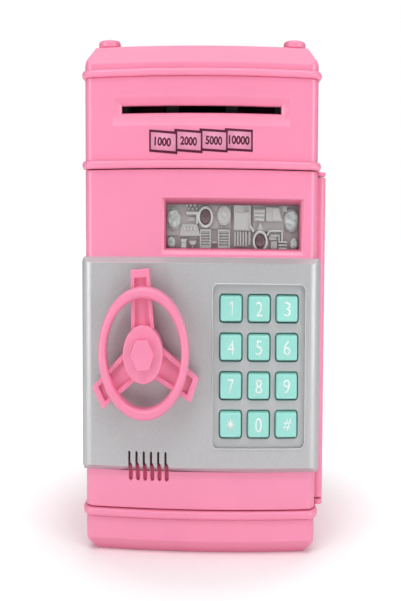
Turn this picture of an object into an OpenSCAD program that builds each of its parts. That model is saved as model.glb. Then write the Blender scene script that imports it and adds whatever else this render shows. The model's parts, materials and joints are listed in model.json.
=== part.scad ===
// Toy safe coin bank: a cabinet with a hinged front door, a keypad, a handwheel that turns
// a latch, and a motor that draws banknotes in through a slot in the head.
// The origin is the middle of the underside. X runs to the right, Y to the back, Z up.

/* [Cabinet] */
// Width across the side walls
body_w = 130; // [128:0.5:132]
// Depth from the door's front to the back wall
body_d = 105; // [104:0.5:108]
// Thickness of the moulded walls
wall = 2.5; // [2.2:0.1:2.7]
// Radius of the upright outer corners
corner_r = 5; // [4:0.5:6]
// Distance that the three raised bands stand out from the walls
band_out = 1.8; // [1.2:0.1:2]

/* [Base and top] */
// Height of the base tray
base_h = 14.5; // [13:0.5:15]
// Height of the slope round the bottom edge
base_slope_h = 5.7; // [5:0.1:6]
// Thickness of the plinth plate, whose edge is the lowest band
plinth_h = 3.2; // [3:0.1:3.6]
// Height of the roof cap's slope
cap_slope_h = 6.7; // [6:0.1:7]
// Distance that both slopes cut in
slope_in = 6; // [5.5:0.1:6.4]
// Diameter of a corner plug's head
plug_d = 12.4; // [11:0.2:13]
// Height of a corner plug's head
plug_h = 3; // [3:0.1:4]

/* [Head] */
// Height of the head housing
head_h = 34.1; // [33:0.1:36]
// Width of the banknote slot
slot_w = 88.2; // [84:0.2:90]
// Height of the banknote slot
slot_h = 2.7; // [2:0.1:2.8]
// Depth of the bevelled recess round the slot
slot_recess = 3; // [2.4:0.1:3.2]
// Length of the coin slot in the roof
coin_slot_w = 32; // [28:1:34]

/* [Door] */
// Height of the door's opening
door_h = 129.7; // [129:0.1:132]
// Depth of the door
door_d = 14.7; // [14.3:0.1:14.9]
// Gap between the door and what surrounds it
door_gap = 0.35; // [0.3:0.05:0.5]
// Radius of the hinge barrel
barrel_r = 3; // [2.8:0.1:3.1]
// Radius of the hinge pins
pin_r = 1.2; // [1:0.1:1.4]

/* [Window] */
// Width of the window
window_w = 75.3; // [70:0.1:76]
// Height of the window
window_h = 18.5; // [16:0.1:19]
// Depth from the door's front to the relief plate
window_depth = 6; // [5.5:0.1:6.5]

/* [Fascia] */
// Distance that the silver fascia stands out from the door's front
fascia_out = 3.1; // [3:0.1:3.3]
// Distance that it stands out at the sides
fascia_side = 2; // [1.6:0.1:2.2]
// Height of the fascia's lower edge above the ground
fascia_bottom = 32.7; // [32:0.1:33.5]
// Height of the fascia
fascia_h = 81.6; // [80.5:0.1:82]
// Depth of the keypad recess
keypad_recess = 1.5; // [1.3:0.1:1.6]

/* [Keys] */
// Width of a key
key_w = 12.2; // [11:0.1:12.4]
// Height of a key
key_h = 10.2; // [9:0.1:10.4]
// Distance between the columns of keys
key_step_x = 15.5; // [15.3:0.1:15.7]
// Distance between the rows of keys
key_step_z = 14.6; // [14.4:0.1:14.8]
// Travel of a key
key_travel = 1; // [0.8:0.1:1]

/* [Handwheel] */
// Radius of the rim's centre line
rim_r = 22.5; // [21.5:0.1:22.5]
// Width of the rim, seen from the front
rim_w = 4.4; // [4:0.1:4.6]
// Reach of the three spokes from the axis
spoke_reach = 30.9; // [30.5:0.1:31.5]
// Diameter of the hub cap
hub_d = 21.5; // [20.5:0.1:22]
// Turn of the resting wheel from upright, anticlockwise seen from the front
wheel_turn = 4; // [0:1:8]

/* [Note feed] */
// Radius of a feed roller
feed_roller_r = 6; // [5.6:0.1:6]
// Radius of a pinch roller
pinch_roller_r = 5; // [4.6:0.1:5]
// Teeth on the drive gear
gear_teeth = 36; // [36:12:36]
// Teeth on the motor's pinion
pinion_teeth = 12; // [12:12:12]

/* [Hidden] */
$fn = 64;
eps = 0.01;
over = 1;

// Heights of the cabinet's stages
plinth_top = base_h + plinth_h;
head_z = plinth_top + door_h;
head_top = head_z + head_h;
head_band_h = 3.1;
cap_band_h = 2.8;
cap_side_h = 2.5;
cap_top = head_top + cap_band_h + cap_side_h + cap_slope_h;
roof_t = 2.5;
floor_t = 3;
locating_rim_h = 2.5;
wall_clear = 0.2;

// Plan of the cabinet
front_y = -body_d / 2;
back_y = body_d / 2;
inner_w = body_w - 2 * wall;
inner_r = corner_r / 2;
door_back_y = front_y + door_d;
cabinet_front_y = door_back_y + 0.3;
band_r = corner_r + band_out;

// Screws and their posts
screw_r = 1.5;
screw_head_r = 2.8;
small_screw_r = 1.2;
screw_clear = 0.1;
head_clear = 0.4;
post_r = 3.8;
post_rib_t = 1.6;
cap_post_r = 5;
cap_seat_h = 4;
cap_head_h = 1.8;
cap_screw_reach = 9;
plug_spigot = 4.5;
base_seat_h = 2;
base_head_z = 0.4;
base_screw_end = 1.4;
tray_seat_h = 1.2;
tray_screw_reach = 9;
post_x = 52.2;
post_y = 39.7;
base_post_x = 48;
base_post_y = 38;
door_post_x = 56;
door_post_inset = 5;
door_post_r = 2.8;

// Door and hinge
door_z = plinth_top + door_gap;
door_top = head_z - door_gap;
hinge_x = body_w / 2 + 2.5;
hinge_y = front_y + 11.5;
lug_low_top = plinth_top + 2.2;
lug_high_z = head_z - 1.6;
lug_gap = 0.5;
lug_root = 4;
pin_bore_r = pin_r + 0.05;
pin_reach = 9.5;
pin_inset = 0.2;
barrel_web = 5.2;
liner_t = 1.8;
liner_screw_reach = 9;
liner_head_h = 1.5;
strike_z = 61;
strike_h = 38;
strike_x = -56;
strike_t = 2.1;
strike_back = 0.2;

// Window and relief plate
window_x = 17.65;
window_z = 126.55;
window_bevel_depth = 1.4;
window_bevel_w = 1.7;
window_bevel_low = 2.2;
window_bevel_high = 0.8;
well_t = 1.6;
relief_t = 1.5;
relief_y = front_y + window_depth;
lamp_r = 2.4;
lamp_places = [[-15.2, 2.8], [15.6, -6.2]];
lamp_ring_r = 4;
lamp_ring_h = 2.2;
lamp_sink = 0.8;
lamp_tip_h = 0.6;
lamp_body = 4;
big_dome = [33.5, 2.4, 3.2, 2.5];
small_dome = [34, -6.4, 2.2, 2];
relief_block_h = 1.4;
relief_blocks = [[-18, -5.4, 5.6, 3.2], [-7, 3, 3.6, 3.6], [5.6, 2.4, 4.6, 4.6], [19, 4.2, 7, 2.6]];

// Fascia and keypad
fascia_y = front_y - fascia_out;
fascia_back_y = front_y + 8.2;
fascia_r = corner_r + fascia_side;
fascia_bevel = 2.2;
fascia_end_wall = 0.4;
fascia_top = fascia_bottom + fascia_h;
keypad_x = 32.4;
keypad_z = 73.4;
keypad_w = 51.8;
keypad_h = 62.6;
keypad_r = 3;
keypad_floor_y = fascia_y + keypad_recess;
key_clear = 0.35;
key_r = 1.4;
key_proud = 2.1;
key_flange = 0.8;
key_flange_y = front_y + 0.2;
key_flange_t = 1.2;
key_back_y = key_flange_y + key_flange_t;
dome_y = key_back_y + key_travel + 0.1;
dome_r = 3.6;
dome_h = 1.1;
membrane_t = 1;
board_t = 1.6;
board_margin = 1.8;
chip = [-9, 3, 6, 1.5];
KEYS = ["1", "2", "3", "4", "5", "6", "7", "8", "9", "star", "0", "hash"];

// Speaker and its slots
speaker_x = -28.8;
speaker_z = 34.8;
speaker_r = 13.5;
speaker_rim_t = 2;
magnet_r = 8;
magnet_t = 3.5;
vent_count = 6;
vent_step = 4.05;
vent_w = 1.2;
vent_top = 40.7;
groove_w = 2.2;
groove_bottom = 28.8;
groove_top = 37;
groove_depth = 1.5;
vent_rise = 6;
vent_shift = -0.5;
notch_top = 36.2;

// Handwheel, spindle and latch, with heights measured forwards from Y = 0
wheel_x = -30.4;
wheel_z = 79.2;
spindle_r = 3;
bush_r = 5;
bush_flange_r = 7;
bush_flange_t = 1.2;
bush_tail = 3;
hub_back = -fascia_y + bush_flange_t + 0.4;
hub_face = hub_back + 8.8;
hub_lip = 0.4;
cap_disc_t = 4;
hex_r = 6.5;
hex_h = 3;
spigot_r = 5;
spigot_h = 1.5;
rim_back = hub_back + 4;
rim_straight = 5.2;
spoke_back = hub_back + 3;
spoke_t = 4.2;
spoke_floor_t = 2.2;
spoke_rail = 2.1;
spoke_root_w = 13.3;
spoke_tip_w = 10.1;
spoke_end_wall = 3.2;
cam_back = 31.5;
cam_t = 3;
cam_r = 9;
tongue_w = 9;
tongue_reach = 29.2;
notch_w = 4.8;
notch_floor_r = 5.6;
cam_screw_head_h = 1.6;
cam_screw_len = 8;
plunger_r = 2;
plunger_tip_x = wheel_x + cam_r + 0.8;
plunger_len = 16.6;
solenoid_x = -14;
solenoid_len = 24;
solenoid_h = 11;
solenoid_d = 9.6;
plunger_bore = 11;
plunger_clear = 0.06;

// Banknote slot
note_z = head_z + 22.1;
slot_frame_w = 7.5;
slot_frame_low = 9.5;
slot_frame_high = 7.5;
slot_bevel_w = 4.6;
slot_bevel_low = 4.8;
slot_bevel_high = 3.2;

// Banknote feed
nip = 0.15;
feed_y = -33;
feed_z = note_z - feed_roller_r - nip;
pinch_z = note_z + pinch_roller_r + nip;
shaft_r = 1.5;
running = 0.05;
roller_x = 17;
roller_w = 7;
shaft_end = 46.5;
bracket_x = 42;
bracket_t = 2.4;
bracket_front = -41;
bracket_back = -25;
bracket_foot = 1.2;
bracket_foot_w = 3;
bracket_head = 4.5;
gear_module = 0.5;
gear_x = 45;
gear_w = 3;
gear_drop = 6.35;
gear_addendum = 0.85;
gear_dedendum = 1.2;
tooth_root = 0.27;
tooth_pitch = 0.21;
tooth_tip = 0.11;
shaft_tail = 0.3;
gear_apart = gear_module * (gear_teeth + pinion_teeth) / 2 + 0.1;
pinion_y = feed_y + sqrt(gear_apart * gear_apart - gear_drop * gear_drop);
pinion_z = feed_z - gear_drop;
mesh_angle = atan2(pinion_z - feed_z, pinion_y - feed_y);
motor_x = 22;
motor_len = 19.5;
motor_r = 7.75;
motor_h = 12;
motor_boss_t = 1.5;
motor_shaft_r = 1;
cradle_front = 2;
cradle_back = 3;
cradle_side = 1;
sensor_board = [8, 11, 3, 1.2];
sensor_eye = [3, 7, 3, 4];
tray_t = 2.2;
tray_top = head_z + tray_t;
drop_w = 92;
drop_front = -14;
drop_back = 40;
coin_y = 30;
coin_slot_t = 3.4;
chute_t = 2;
chute_w = coin_slot_w + 4;
chute_d = coin_slot_t + 3;
chute_clear = 1.5;

// Batteries
cell_r = 7.1;
cell_len = 50;
cell_step = 15.3;
battery_z = 50;
battery_y = back_y - 11;
pocket_w = 54;
pocket_h = 47;
pocket_floor = 1.8;
pocket_front_y = battery_y - cell_r - 3;
contact_t = 0.6;
contact_half = [4, 5];
contact_inset = 0.3;
spring_r = [1.6, 3];
spring_len = pocket_w / 2 - cell_len / 2 - 0.4;
cover_w = 60;
cover_h = 52;
cover_gap = 0.3;
cover_t = 2;
cover_screw_z = battery_z + cover_h / 2 - 4;
cover_seat = 1;
cover_screw_len = 4;
arrow_w = 24;
arrow_line = 1;
arrow_step = 3;
arrow_depth = 0.6;
arrow_low = battery_z - cover_h / 2 + 7;

// ---- Shared shapes ----

// Extrudes a plan from height z0 to height z1
module slab(z0, z1) {
    translate([0, 0, z0]) linear_extrude(z1 - z0) children();
}

// Extrudes an outline in X and Z from y0 back to y1
module panel(y0, y1) {
    translate([0, y1, 0]) rotate([90, 0, 0]) linear_extrude(y1 - y0) children();
}

// A rod along X, from x0 to x1
module rod_x(x0, x1, y, z, r) {
    translate([x0, y, z]) rotate([0, 90, 0]) cylinder(h = x1 - x0, r = r);
}

// A rod along Y, from y0 to y1
module rod_y(y0, y1, x, z, r) {
    translate([x, y1, z]) rotate([90, 0, 0]) cylinder(h = y1 - y0, r = r);
}

// A rod along Z, from z0 to z1
module rod_z(z0, z1, x, y, r) {
    translate([x, y, z0]) cylinder(h = z1 - z0, r = r);
}

// A block given by its two opposite corners
module block(low, high) {
    translate(low) cube(high - low);
}

// A rectangle with round corners, centred
module round_rect(w, d, r) {
    square([w - 2 * r, d], center = true);
    square([w, d - 2 * r], center = true);
    for (x = [-1, 1], y = [-1, 1])
        translate([x * (w / 2 - r), y * (d / 2 - r)]) circle(r);
}

// A plan with round corners at its front edge only
module front_plan(w, front, back, r) {
    translate([-w / 2, front + r]) square([w, back - front - r]);
    translate([-w / 2 + r, front]) square([w - 2 * r, back - front]);
    for (x = [-1, 1]) translate([x * (w / 2 - r), front + r]) circle(r);
}

// The half outline of a block whose lower corners are cut at a slope
module sloped_profile(w, z0, z1, cut_h, cut_in) {
    polygon([
        [-w / 2, z1], [w / 2, z1], [w / 2, z0 + cut_h],
        [w / 2 - cut_in, z0], [-w / 2 + cut_in, z0], [-w / 2, z0 + cut_h]
    ]);
}

// A block with a slope all round its bottom edge
module sloped_block(w, d, r, z0, z1, cut_h, cut_in) {
    intersection() {
        slab(z0, z1) round_rect(w, d, r);
        panel(-d, d) sloped_profile(w, z0, z1, cut_h, cut_in);
        rotate([0, 0, 90]) panel(-w, w) sloped_profile(d, z0, z1, cut_h, cut_in);
    }
}

// The same block upside down, with the slope round its top edge at height z1
module roof_block(w, d, r, z0, z1, cut_h, cut_in) {
    translate([0, 0, z0 + z1]) mirror([0, 0, 1])
        sloped_block(w, d, r, z0, z1, cut_h, cut_in);
}

// A funnel-shaped recess in the front plane, w by h outside and narrower by cut at its floor
module bevel_recess(x, z, w, h, cut_x, cut_low, cut_high, depth) {
    intersection() {
        translate([x, 0, 0]) slab(z - h, z + h)
            polygon([
                [-w / 2 - over * cut_x / depth, front_y - over],
                [w / 2 + over * cut_x / depth, front_y - over],
                [w / 2 - cut_x, front_y + depth], [-w / 2 + cut_x, front_y + depth]
            ]);
        translate([x, 0, 0]) rotate([90, 0, 90]) linear_extrude(2 * w, center = true)
            polygon([
                [front_y - over, z - h / 2 - over * cut_low / depth],
                [front_y - over, z + h / 2 + over * cut_high / depth],
                [front_y + depth, z + h / 2 - cut_high], [front_y + depth, z - h / 2 + cut_low]
            ]);
    }
}

// Puts its child at the four places (x, y) and mirrored
module four(x, y) {
    for (sx = [-1, 1], sy = [-1, 1]) translate([sx * x, sy * y, 0]) children();
}

// Puts its child at the door's four screw places, in X and Z
module door_corners() {
    for (sx = [-1, 1], z = [door_z + door_post_inset, door_top - door_post_inset])
        translate([sx * door_post_x, 0, z]) children();
}

// Puts its child on the wheel's axis, with Z pointing forwards
module on_wheel_axis() {
    translate([wheel_x, 0, wheel_z]) rotate([90, 0, 0]) children();
}

// The place of key number i, counted along the rows from the top left
function key_pos(i) = [
    keypad_x + (i % 3 - 1) * key_step_x,
    keypad_z + (1.5 - floor(i / 3)) * key_step_z
];

// The place of one speaker slot
function vent_x(i) = speaker_x + (i - (vent_count - 1) / 2) * vent_step;

// ---- Cabinet ----

// Bottom tray with sloped lower edges and four screw posts
module base_tray() color("hotpink") difference() {
    union() {
        difference() {
            sloped_block(body_w, body_d, corner_r, 0, base_h, base_slope_h, slope_in);
            sloped_block(inner_w, body_d - 2 * wall, inner_r, floor_t, base_h + over,
                base_slope_h, slope_in);
        }
        four(base_post_x, base_post_y) rod_z(floor_t - over, base_h - plinth_h, 0, 0, post_r);
    }
    four(base_post_x, base_post_y) {
        rod_z(-over, base_h, 0, 0, screw_r + screw_clear);
        rod_z(-over, base_seat_h, 0, 0, screw_head_r + head_clear);
    }
}

// Floor of the cash compartment, whose edge is the lowest band
module plinth_plate() color("hotpink") difference() {
    union() {
        slab(base_h, plinth_top) round_rect(body_w + 2 * band_out, body_d + 2 * band_out, band_r);
        difference() {
            slab(base_h - locating_rim_h, base_h + eps) inside_plan();
            slab(base_h - locating_rim_h - over, base_h)
                round_rect(inner_w - 2 * wall, body_d - 4 * wall, inner_r);
        }
        four(base_post_x, base_post_y) rod_z(base_h - plinth_h, base_h + eps, 0, 0, post_r);
    }
    four(base_post_x, base_post_y) rod_z(0, base_h + plinth_h / 2, 0, 0, screw_r);
}

// Plan of a part that fits between the walls with a little clearance
module inside_plan() {
    round_rect(inner_w - 2 * wall_clear, body_d - 2 * wall - 2 * wall_clear, inner_r);
}

// One hinge lug on the right wall, between heights z0 and z1
module hinge_lug(z0, z1) {
    difference() {
        union() {
            rod_z(z0, z1, hinge_x, hinge_y, barrel_r);
            block([body_w / 2 + cover_gap, hinge_y, z0],
                [hinge_x + barrel_r, cabinet_front_y + lug_root / 2, z1]);
            block([body_w / 2 - wall / 2, cabinet_front_y, z0],
                [hinge_x + barrel_r, cabinet_front_y + lug_root, z1]);
        }
        rod_z(z0 - over, z1 + over, hinge_x, hinge_y, pin_r);
    }
}

// Side and back walls in one piece, with the hinge lugs and the strike for the latch
module cabinet_shell() color("pink") {
    difference() {
        slab(plinth_top, head_z) mirror([0, 1])
            front_plan(body_w, -back_y, -cabinet_front_y, corner_r);
        slab(plinth_top - over, head_z + over) mirror([0, 1])
            front_plan(inner_w, wall - back_y, over - cabinet_front_y, inner_r);
        panel(back_y - wall - over, back_y + over) translate([0, battery_z])
            round_rect(cover_w, cover_h, inner_r);
    }
    hinge_lug(plinth_top, lug_low_top);
    hinge_lug(lug_high_z, head_z);
    block([-body_w / 2 + wall - eps, cabinet_front_y + strike_back, strike_z],
        [strike_x, cabinet_front_y + strike_back + strike_t, strike_z + strike_h]);
}

// Pins that the door's barrel turns on
module hinge_pins() color("silver") {
    rod_z(plinth_top + pin_inset, lug_low_top + pin_reach, hinge_x, hinge_y, pin_r);
    rod_z(lug_high_z - pin_reach, head_z - pin_inset, hinge_x, hinge_y, pin_r);
}

// Housing above the door, with the bevelled banknote slot
module head_housing() color("pink") difference() {
    union() {
        difference() {
            union() {
                slab(head_z, head_top) round_rect(body_w, body_d, corner_r);
                slab(head_z, head_z + head_band_h)
                    round_rect(body_w + 2 * band_out, body_d + 2 * band_out, band_r);
            }
            slab(head_z - over, head_top + over) round_rect(inner_w, body_d - 2 * wall, inner_r);
        }
        block([-slot_w / 2 - slot_frame_w, front_y + wall - eps, note_z - slot_frame_low],
            [slot_w / 2 + slot_frame_w, front_y + slot_recess + wall, note_z + slot_frame_high]);
        four(post_x, post_y) rod_z(tray_top, head_top, 0, 0, post_r);
        for (side = [-1, 1], y = [-post_y, post_y])
            translate([side * (post_x + inner_w / 2) / 2, y]) slab(tray_top, head_top)
                square([inner_w / 2 - post_x + eps, post_rib_t], center = true);
    }
    bevel_recess(0, note_z + (slot_bevel_high - slot_bevel_low) / 2, slot_w + 2 * slot_bevel_w,
        slot_h + slot_bevel_high + slot_bevel_low, slot_bevel_w, slot_bevel_low,
        slot_bevel_high, slot_recess);
    block([-slot_w / 2, front_y, note_z - slot_h / 2],
        [slot_w / 2, front_y + slot_recess + wall + over, note_z + slot_h / 2]);
    four(post_x, post_y) rod_z(tray_top - over, head_top + over, 0, 0, screw_r);
}

// Roof with its band, its slope, the coin slot and the sockets of the corner plugs
module roof_cap() color("pink") difference() {
    union() {
        difference() {
            union() {
                roof_block(body_w, body_d, corner_r, head_top, cap_top, cap_slope_h, slope_in);
                slab(head_top, head_top + cap_band_h)
                    round_rect(body_w + 2 * band_out, body_d + 2 * band_out, band_r);
            }
            roof_block(inner_w, body_d - 2 * wall, inner_r, head_top - over, cap_top - roof_t,
                cap_slope_h, slope_in);
        }
        four(post_x, post_y) rod_z(head_top, cap_top - roof_t, 0, 0, cap_post_r);
    }
    four(post_x, post_y) {
        rod_z(head_top - over, cap_top + over, 0, 0, screw_r + screw_clear);
        rod_z(head_top + cap_seat_h, cap_top + over, 0, 0, post_r + screw_clear);
    }
    block([-coin_slot_w / 2, coin_y - coin_slot_t / 2, cap_top - roof_t - over],
        [coin_slot_w / 2, coin_y + coin_slot_t / 2, cap_top + over]);
}

// Four round plugs that cover the roof's screws
module corner_plugs() color("pink") four(post_x, post_y) {
    rod_z(cap_top, cap_top + plug_h, 0, 0, plug_d / 2);
    rod_z(cap_top - plug_spigot, cap_top + eps, 0, 0, post_r);
}

// Screws that hold the roof to the head
module cap_screws() color("silver") four(post_x, post_y) {
    rod_z(head_top + cap_seat_h, head_top + cap_seat_h + cap_head_h, 0, 0, screw_head_r);
    rod_z(head_top - cap_screw_reach, head_top + cap_seat_h + eps, 0, 0, screw_r);
}

// Screws that hold the tray to the plinth plate
module base_screws() color("silver") four(base_post_x, base_post_y) {
    rod_z(base_head_z, base_seat_h, 0, 0, screw_head_r);
    rod_z(base_head_z, base_h + base_screw_end, 0, 0, screw_r);
}

// Screws that hold the mechanism tray up to the head
module tray_screws() color("silver") four(post_x, post_y) {
    rod_z(head_z + screw_clear, head_z + tray_seat_h, 0, 0, screw_head_r);
    rod_z(head_z + screw_clear, tray_top + tray_screw_reach, 0, 0, screw_r);
}

// ---- Banknote feed ----

// Deck between the head and the compartment, open where notes and coins fall
module mechanism_tray() color("dimgray") difference() {
    union() {
        slab(head_z, tray_top) inside_plan();
        block([motor_x + cradle_front, pinion_y - motor_r + cradle_side, tray_top - eps],
            [motor_x + motor_len - cradle_back, pinion_y + motor_r - cradle_side,
             pinion_z - motor_h / 2]);
    }
    block([-drop_w / 2, drop_front, head_z - over], [drop_w / 2, drop_back, tray_top + over]);
    four(post_x, post_y) {
        rod_z(head_z - over, tray_top + over, 0, 0, screw_r + screw_clear);
        rod_z(head_z - over, head_z + tray_seat_h, 0, 0, screw_head_r + head_clear);
    }
}

// Two upright plates that carry both shafts
module roller_brackets() color("gray") for (side = [-1, 1]) {
    near = side > 0 ? bracket_x : -bracket_x - bracket_t;
    difference() {
        union() {
            block([near, bracket_front, tray_top],
                [near + bracket_t, bracket_back, pinch_z + bracket_head]);
            block([near - bracket_foot_w, bracket_front, tray_top],
                [near + bracket_t, bracket_back, tray_top + bracket_foot]);
        }
        rod_x(near - over, near + bracket_t + over, feed_y, feed_z, shaft_r + running);
        rod_x(near - over, near + bracket_t + over, feed_y, pinch_z, shaft_r + running);
    }
}

// Flat-sided motor on its cradle
module feed_motor() color("silver") {
    intersection() {
        rod_x(motor_x, motor_x + motor_len, pinion_y, pinion_z, motor_r);
        block([motor_x, pinion_y - 2 * motor_r, pinion_z - motor_h / 2],
            [motor_x + motor_len, pinion_y + 2 * motor_r, pinion_z + motor_h / 2]);
    }
    rod_x(motor_x - motor_boss_t, motor_x + eps, pinion_y, pinion_z, motor_r / 3);
}

// Small board with the optical sensor that sees a note arrive
module note_sensor() color("darkgreen") {
    y = front_y + slot_recess + wall;
    for (part = [sensor_board, sensor_eye])
        block([-part[0], y, note_z - part[1]], [part[0], y + part[3], note_z - part[2]]);
}

// Square funnel that leads coins from the roof to the deck
module coin_chute() color("dimgray") difference() {
    slab(tray_top + chute_clear, cap_top - roof_t) translate([0, coin_y])
        square([chute_w + 2 * chute_t, chute_d + 2 * chute_t], center = true);
    slab(tray_top, cap_top) translate([0, coin_y]) square([chute_w, chute_d], center = true);
}

// A straight-flanked gear outline with n teeth, turned by half a tooth where shift is 0.5
module gear_outline(n, shift) {
    pitch_r = gear_module * n / 2;
    tip_r = pitch_r + gear_addendum * gear_module;
    root_r = pitch_r - gear_dedendum * gear_module;
    step = 360 / n;
    polygon([for (i = [0:n - 1], p = [
        [root_r, -tooth_root], [pitch_r, -tooth_pitch], [tip_r, -tooth_tip],
        [tip_r, tooth_tip], [pitch_r, tooth_pitch], [root_r, tooth_root]
    ]) let (a = (i + shift + p[1]) * step) p[0] * [cos(a), sin(a)]]);
}

// Puts a gear's outline across X at (y, z), with its first tooth towards the angle given
module gear_at(y, z, towards) {
    translate([gear_x, y, z]) rotate([90, 0, 90]) rotate([0, 0, towards]) children();
}

// Lower shaft, driven by the gear
module feed_shaft() color("silver")
    rod_x(-shaft_end, gear_x + gear_w + shaft_tail, feed_y, feed_z, shaft_r);

// Two rubber rollers on the lower shaft
module feed_rollers() color("dimgray") for (side = [-1, 1]) difference() {
    x = side * roller_x;
    rod_x(x - roller_w / 2, x + roller_w / 2, feed_y, feed_z, feed_roller_r);
    rod_x(x - roller_w, x + roller_w, feed_y, feed_z, shaft_r);
}

// Gear on the lower shaft
module drive_gear() color("white") difference() {
    gear_at(feed_y, feed_z, mesh_angle) linear_extrude(gear_w) gear_outline(gear_teeth, 0);
    rod_x(gear_x - over, gear_x + gear_w + over, feed_y, feed_z, shaft_r);
}

// Upper shaft, turned by the note or the lower rollers
module pinch_shaft() color("silver") rod_x(-shaft_end, shaft_end, feed_y, pinch_z, shaft_r);

// Two rubber rollers on the upper shaft
module pinch_rollers() color("dimgray") for (side = [-1, 1]) difference() {
    x = side * roller_x;
    rod_x(x - roller_w / 2, x + roller_w / 2, feed_y, pinch_z, pinch_roller_r);
    rod_x(x - roller_w, x + roller_w, feed_y, pinch_z, shaft_r);
}

// The motor's output shaft with its pinion
module motor_pinion() color("white") {
    gear_at(pinion_y, pinion_z, mesh_angle + 180)
        linear_extrude(gear_w) gear_outline(pinion_teeth, 0.5);
    rod_x(motor_x + motor_len + shaft_tail, gear_x + gear_w + shaft_tail, pinion_y, pinion_z,
        motor_shaft_r);
}

// ---- Batteries ----

// Box inside the back wall, open to the back
module battery_box() color("pink") difference() {
    block([-pocket_w / 2 - wall, pocket_front_y, battery_z - pocket_h / 2 - wall],
        [pocket_w / 2 + wall, back_y - wall, battery_z + pocket_h / 2 + wall]);
    block([-pocket_w / 2, pocket_front_y + pocket_floor, battery_z - pocket_h / 2],
        [pocket_w / 2, back_y, battery_z + pocket_h / 2]);
}

// Three cells side by side
module battery_cells() color("black") for (i = [-1:1])
    rod_x(-cell_len / 2, cell_len / 2, battery_y, battery_z + i * cell_step, cell_r);

// Spring and plate contacts at both ends of each cell
module battery_contacts() color("silver") for (i = [-1:1], side = [-1, 1]) {
    z = battery_z + i * cell_step;
    x = side * (pocket_w / 2 - contact_inset);
    block([x - contact_t / 2, battery_y - contact_half[0], z - contact_half[1]],
        [x + contact_t / 2, battery_y + contact_half[0], z + contact_half[1]]);
    translate([side * (cell_len / 2 + screw_clear), battery_y, z]) rotate([0, side * 90, 0])
        cylinder(h = spring_len, r1 = spring_r[0], r2 = spring_r[1]);
}

// Cover plate in the back wall
module battery_cover() color("pink") difference() {
    panel(back_y - cover_t, back_y) translate([0, battery_z])
        round_rect(cover_w - 2 * cover_gap, cover_h - 2 * cover_gap, inner_r);
    rod_y(back_y - cover_t - over, back_y + over, 0, cover_screw_z, screw_r);
    rod_y(back_y - cover_seat, back_y + over, 0, cover_screw_z, screw_head_r + screw_clear);
    for (i = [0:4]) panel(back_y - arrow_depth, back_y + over)
        translate([0, arrow_low + arrow_step * i])
            square([arrow_w * (1 - i / 6), arrow_line], center = true);
}

// Captive screw in the cover
module cover_screw() color("silver") {
    rod_y(back_y - cover_seat, back_y - screw_clear, 0, cover_screw_z, screw_head_r);
    rod_y(back_y - cover_screw_len, back_y - cover_seat + eps, 0, cover_screw_z, screw_r);
}

// ---- Door ----

// The door's frame, front wall and hinge barrel
module door_shell() color("pink") difference() {
    union() {
        difference() {
            slab(door_z, door_top) front_plan(body_w, front_y, door_back_y, corner_r);
            slab(door_z + wall, door_top - wall)
                front_plan(inner_w, front_y + wall, door_back_y + over, inner_r);
        }
        panel(front_y + wall - eps, relief_y) translate([window_x, window_z])
            square([window_w + 2 * well_t, window_h + 2 * well_t], center = true);
        door_corners() rod_y(front_y + wall - eps, door_back_y - liner_t, 0, 0, door_post_r);
        rod_z(lug_low_top + lug_gap, lug_high_z - lug_gap, hinge_x, hinge_y, barrel_r);
        block([body_w / 2 - over, hinge_y - barrel_web / 2, lug_low_top + lug_gap],
            [hinge_x, hinge_y + barrel_web / 2, lug_high_z - lug_gap]);
    }
    for (z = [[0, lug_low_top + lug_gap], [lug_high_z - lug_gap, cap_top]])
        rod_z(z[0], z[1], hinge_x, hinge_y, barrel_r + lug_gap);
    rod_z(lug_low_top, lug_low_top + pin_reach + 1, hinge_x, hinge_y, pin_bore_r);
    rod_z(lug_high_z - pin_reach - 1, lug_high_z, hinge_x, hinge_y, pin_bore_r);
    bevel_recess(window_x, window_z + (window_bevel_high - window_bevel_low) / 2,
        window_w + 2 * window_bevel_w, window_h + window_bevel_low + window_bevel_high,
        window_bevel_w, window_bevel_low, window_bevel_high, window_bevel_depth);
    panel(front_y - over, relief_y + over) translate([window_x, window_z])
        square([window_w, window_h], center = true);
    panel(front_y - over, front_y + wall + over) translate([keypad_x, keypad_z])
        square([keypad_w - over, keypad_h - over], center = true);
    rod_y(front_y - over, front_y + wall + over, wheel_x, wheel_z, bush_r + running);
    for (i = [0:vent_count - 1]) {
        panel(front_y - over, front_y + groove_depth)
            vent_outline(vent_x(i), groove_w, groove_bottom, groove_top);
        panel(front_y, front_y + wall + over)
            vent_outline(vent_x(i) + vent_shift, vent_w, groove_bottom + vent_rise, vent_top);
    }
    door_corners() rod_y(front_y + wall, door_back_y, 0, 0, small_screw_r);
}

// One upright slot with round ends
module vent_outline(x, w, low, high) {
    translate([x, 0]) {
        translate([-w / 2, low + w / 2]) square([w, high - low - w]);
        for (z = [low + w / 2, high - w / 2]) translate([0, z]) circle(w / 2);
    }
}

// Outline of the fascia seen from one edge, with its front edges bevelled
module fascia_profile(z0, z1, front, back) {
    polygon([
        [back, z0], [back, z1], [front + fascia_out, z1], [front, z1 - fascia_bevel],
        [front, z0 + fascia_bevel], [front + fascia_out, z0]
    ]);
}

// Outline of the fascia seen from the front, with its four corners bevelled
module fascia_outline() {
    full = body_w / 2 + fascia_side;
    ends = body_w / 2 + fascia_end_wall;
    polygon([
        [-ends, fascia_bottom], [ends, fascia_bottom], [full, fascia_bottom + fascia_bevel],
        [full, fascia_top - fascia_bevel], [ends, fascia_top], [-ends, fascia_top],
        [-full, fascia_top - fascia_bevel], [-full, fascia_bottom + fascia_bevel]
    ]);
}

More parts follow.
